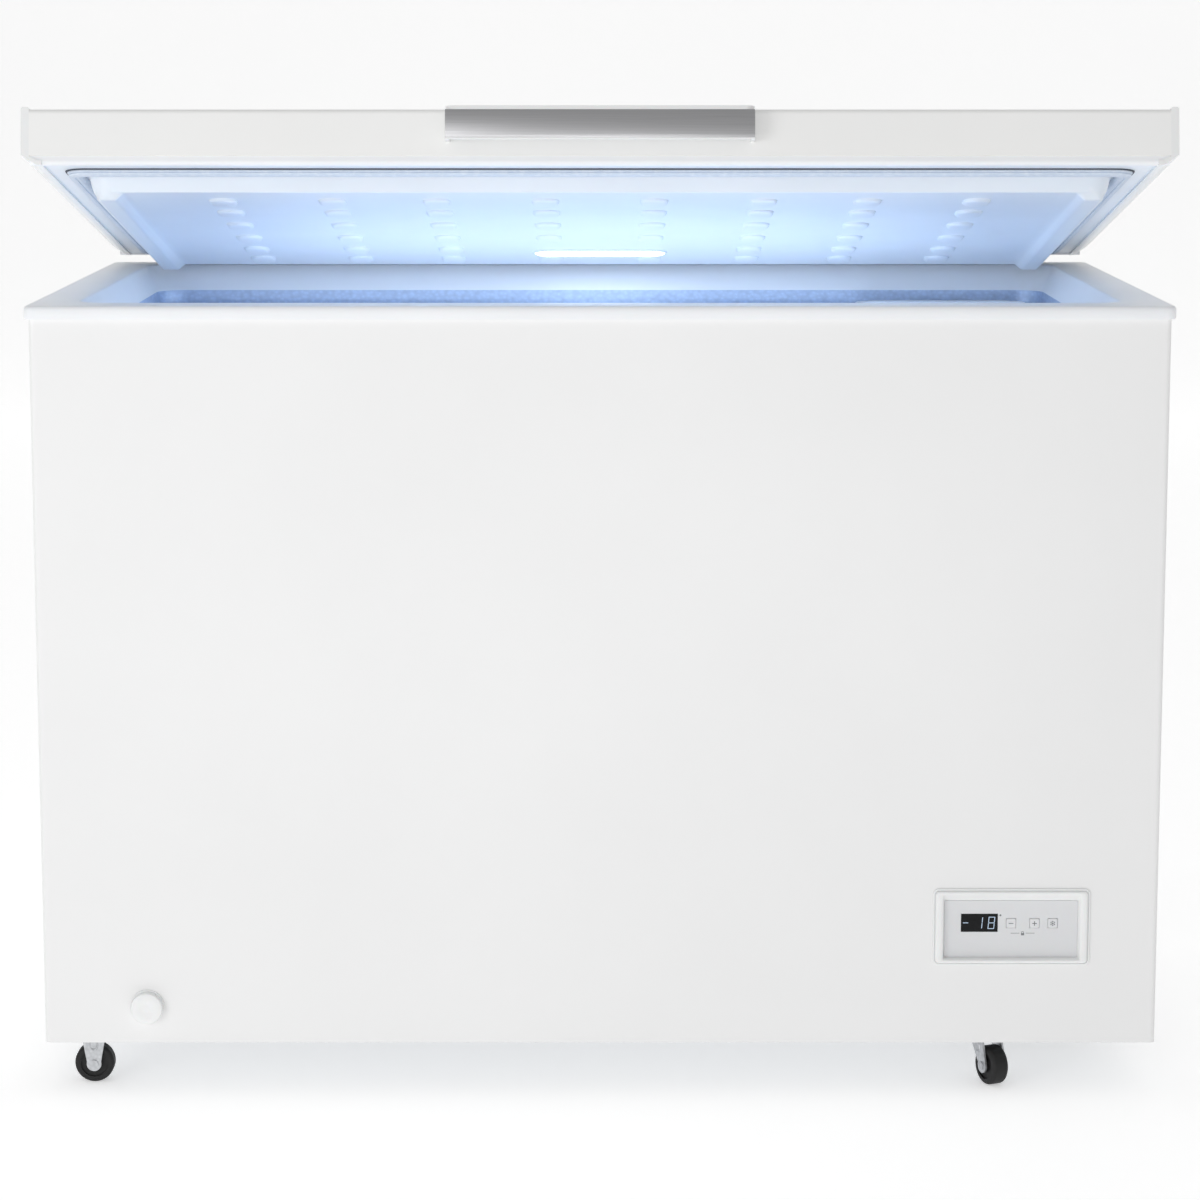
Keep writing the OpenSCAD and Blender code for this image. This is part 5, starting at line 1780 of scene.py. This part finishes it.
@dataclass
class CasterTrim:
    """Rivet heads and pressed slots on the cheeks of the four forks."""

    finishes: Finishes
    cheek: float = 12.0 * MM
    slot_up: float = 21.5 * MM
    lean: float = 0.45
    wheels: tuple[tuple[str, str, str], ...] = (
        ("wheel_left_front_spin", "", "cabinet"),
        ("wheel_left_rear_spin", "", "cabinet"),
        ("wheel_right_front_spin", "swivel_front_turn", "swivel_front"),
        ("wheel_right_rear_spin", "swivel_rear_turn", "swivel_rear"),
    )

    def build(self) -> list[Piece]:
        """Makes the trim of each fork.

        Returns:
            The pieces.
        """
        joints = {row["name"]: row for row in frame["joints"]}
        pieces = []
        for wheel, pivot, body in self.wheels:
            at = Vector(joints[wheel]["pos_m"])
            across = Vector(joints[wheel]["axis"]).normalized()
            trail = Vector((0, 0, 0))
            if pivot:
                trail = at - Vector(joints[pivot]["pos_m"])
                trail.z = 0
            parts = []
            for side in (-1, 1):
                out = across * side
                ahead = Vector((0, 0, 1)).cross(out)
                turn = Matrix((ahead, Vector((0, 0, 1)), out)).transposed().to_4x4()
                lean = -self.lean if trail.dot(ahead) > MM else self.lean
                tip = Matrix.Rotation(-lean if trail.length > MM else 0.0, 4, "Z")
                place = Matrix.Translation(at + out * self.cheek) @ turn
                rivet = self.rivet(f"rivet_{side}")
                slot = self.slot(f"slot_{side}")
                parts.append(Bench.turn(rivet, place))
                parts.append(Bench.turn(slot, place @ tip))
            piece = Bench.join(f"{wheel.removesuffix('_spin')}_fork_trim", parts)
            self.finishes.dress(piece, "zinc")
            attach(piece, body)
            pieces.append(piece)
        return pieces

    def rivet(self, name: str) -> Piece:
        """Makes the head of an axle's rivet, facing up at the origin.

        Args:
            name: The piece's name.

        Returns:
            The piece.
        """
        rows = ((4.3, -0.3), (4.3, 0.5), (3.8, 1.0), (2.6, 1.2), (2.1, 0.7), (0.8, 0.6))
        rings = [Ring(2 * r * MM, 2 * r * MM, r * MM, z * MM) for r, z in rows]
        return Bench.smooth(Bench.loft(name, rings, 5), 40)

    def slot(self, name: str) -> Piece:
        """Makes the pressed rim of a slot above the axle.

        Args:
            name: The piece's name.

        Returns:
            The piece.
        """
        rows = ((0.0, -0.2), (0.3, 0.4), (0.9, 0.7), (1.5, 0.4), (2.1, 0.1), (2.3, -0.2))
        rings = [
            Ring(
                (9.6 - 2 * i) * MM, (15.0 - 2 * i) * MM, (4.8 - i) * MM, z * MM, 0, self.slot_up
            )
            for i, z in rows
        ]
        return Bench.smooth(Bench.loft(name, rings, 6, closed=True), 50)


# ---------- studio ----------


@dataclass
class Studio:
    """Pale floor and backdrop, soft lights and the camera."""

    eye: tuple[float, float, float] = (0.0, -3.9, 1.0651)
    tilt: float = 8.967
    lens: float = 109.23

    def build(self) -> None:
        """Sets up the floor, the lights and the camera."""
        self.backdrop()
        self.lights()
        self.camera()

    def backdrop(self) -> None:
        """Adds a floor that curves up into a backdrop."""
        Bench.clear()
        bpy.ops.mesh.primitive_plane_add(size=1.0, location=(0, 0, 0))
        floor = Bench.named("studio_floor")
        for vert in floor.data.vertices:
            vert.co = (vert.co.x * 90, vert.co.y * 54 - 18, 0)
        with Bench.editing(floor):
            Bench.pick(floor, "EDGE", lambda at, way: at.y > 8.9)
            bpy.ops.mesh.extrude_region_move(TRANSFORM_OT_translate={"value": (0, 0, 9)})
            Bench.pick(floor, "EDGE", lambda at, way: abs(at.y - 9) < 0.01 and abs(at.z) < 0.01)
            bpy.ops.mesh.bevel(offset=3.0, segments=16, profile=0.5, affect="EDGES")
        Bench.smooth(floor, 60)
        g = Graph("studio_paper")
        cloud = g.noise(0.6, 2.0)
        floor.data.materials.append(
            g.surface(
                Base_Color=g.blend(cloud, (0.86, 0.86, 0.86), (0.9, 0.9, 0.9)),
                Roughness=0.75 + 0.1 * cloud,
                Emission_Color=(1.0, 1.0, 1.0),
                Emission_Strength=0.42,
            )
        )

    def lights(self) -> None:
        """Adds the world's light and the soft boxes."""
        world = bpy.data.worlds.new("studio_world")
        bpy.context.scene.world = world
        world.use_nodes = True
        back = world.node_tree.nodes["Background"]
        back.inputs["Color"].default_value = (1.0, 1.0, 1.0, 1.0)
        back.inputs["Strength"].default_value = 0.46
        for name, at, size, energy, aim in (
            ("key_left", (-2.0, -2.8, 0.9), 1.4, 19.0, (-0.4, 0, 0.7)),
            ("card_low", (0.0, -2.4, 0.2), 1.2, 7.5, (0, -0.2, 0.95)),
            ("top_soft", (0.0, 0.6, 3.4), 3.0, 10.0, (0, 0, 0.5)),
        ):
            bpy.ops.object.light_add(type="AREA", location=at)
            light = bpy.context.object
            light.name = name
            light.data.size = size
            light.data.energy = energy
            light.visible_camera = False
            turn = (Vector(aim) - Vector(at)).to_track_quat("-Z", "Y")
            light.rotation_mode = "QUATERNION"
            light.rotation_quaternion = turn

    def camera(self) -> None:
        """Adds the camera."""
        bpy.ops.object.camera_add(
            location=self.eye, rotation=(math.radians(90 - self.tilt), 0, 0)
        )
        camera = bpy.context.object
        camera.name = "studio_camera"
        camera.data.sensor_width = 36.0
        camera.data.lens = self.lens
        camera.data.clip_end = 60.0
        bpy.context.scene.camera = camera
        bpy.context.scene.view_settings.view_transform = "Standard"


# ---------- the whole freezer ----------


def dress_nodes(finishes: Finishes) -> None:
    """Gives every CAD node that stays its finish.

    Args:
        finishes: The finishes.
    """
    rows = {
        "enamel": ["cabinet_shell"],
        "lid_enamel": ["lid_skin"],
        "back_enamel": ["back_panel"],
        "plastic": ["lid_end_strips", "drain_channel", "drain_tube", "floor_plug", "control_box"],
        "galvanised": [
            "base_pan",
            "compressor_plate",
            "rear_cover",
            "hinge_cabinet_leaves",
            "hinge_lid_leaves",
        ],
        "zinc": [
            "rigid_forks", "rigid_axles", "swivel_plates", "swivel_fork_front", "swivel_fork_rear",
            "swivel_axle_front", "swivel_axle_rear", "caster_screws", "hinge_screws", "hinge_pins",
            "lid_screws", "rear_cover_screws", "compressor_bolts",
        ],
        "spring": ["hinge_springs"],
        "foam": ["cabinet_foam", "lid_foam"],
        "stucco": ["tank_liner"],
        "copper": ["evaporator_tube", "condenser_tube", "filter_drier", "copper_lines"],
        "compressor": ["compressor"],
        "rubber": ["compressor_mounts", "cord_gland"],
        "relay": ["start_relay"],
        "tread": ["wheel_left_front", "wheel_left_rear", "wheel_right_front", "wheel_right_rear"],
        "fascia": ["control_fascia"],
        "glass": ["display_lens"],
        "board": ["control_board"],
        "keys": ["temperature_sensor", "lamp_housing"],
    }
    for key, nodes in rows.items():
        finishes.dress_nodes(key, *nodes)


def main() -> None:
    """Builds the freezer's pieces in order."""
    finishes = Finishes()
    dress_nodes(finishes)
    swing = Swing()
    Studio().build()
    for label, maker in (
        ("rim frame", RimFrame(finishes)),
        ("lid lining", LidLining(swing, finishes)),
        ("gasket", Gasket(swing, finishes)),
        ("lamp", Lamp(swing, finishes)),
        ("tank glow", TankGlow()),
        ("handle", Handle(finishes)),
        ("basket", Basket(finishes)),
        ("control panel", ControlPanel(finishes)),
        ("drain cap", DrainCap(finishes)),
        ("caster trim", CasterTrim(finishes)),
    ):
        made = maker.build()
        count = len(made) if isinstance(made, list) else 1
        log.info("%s: %d pieces", label, count)
    Bench.clear()


if __name__ == "__main__":
    main()
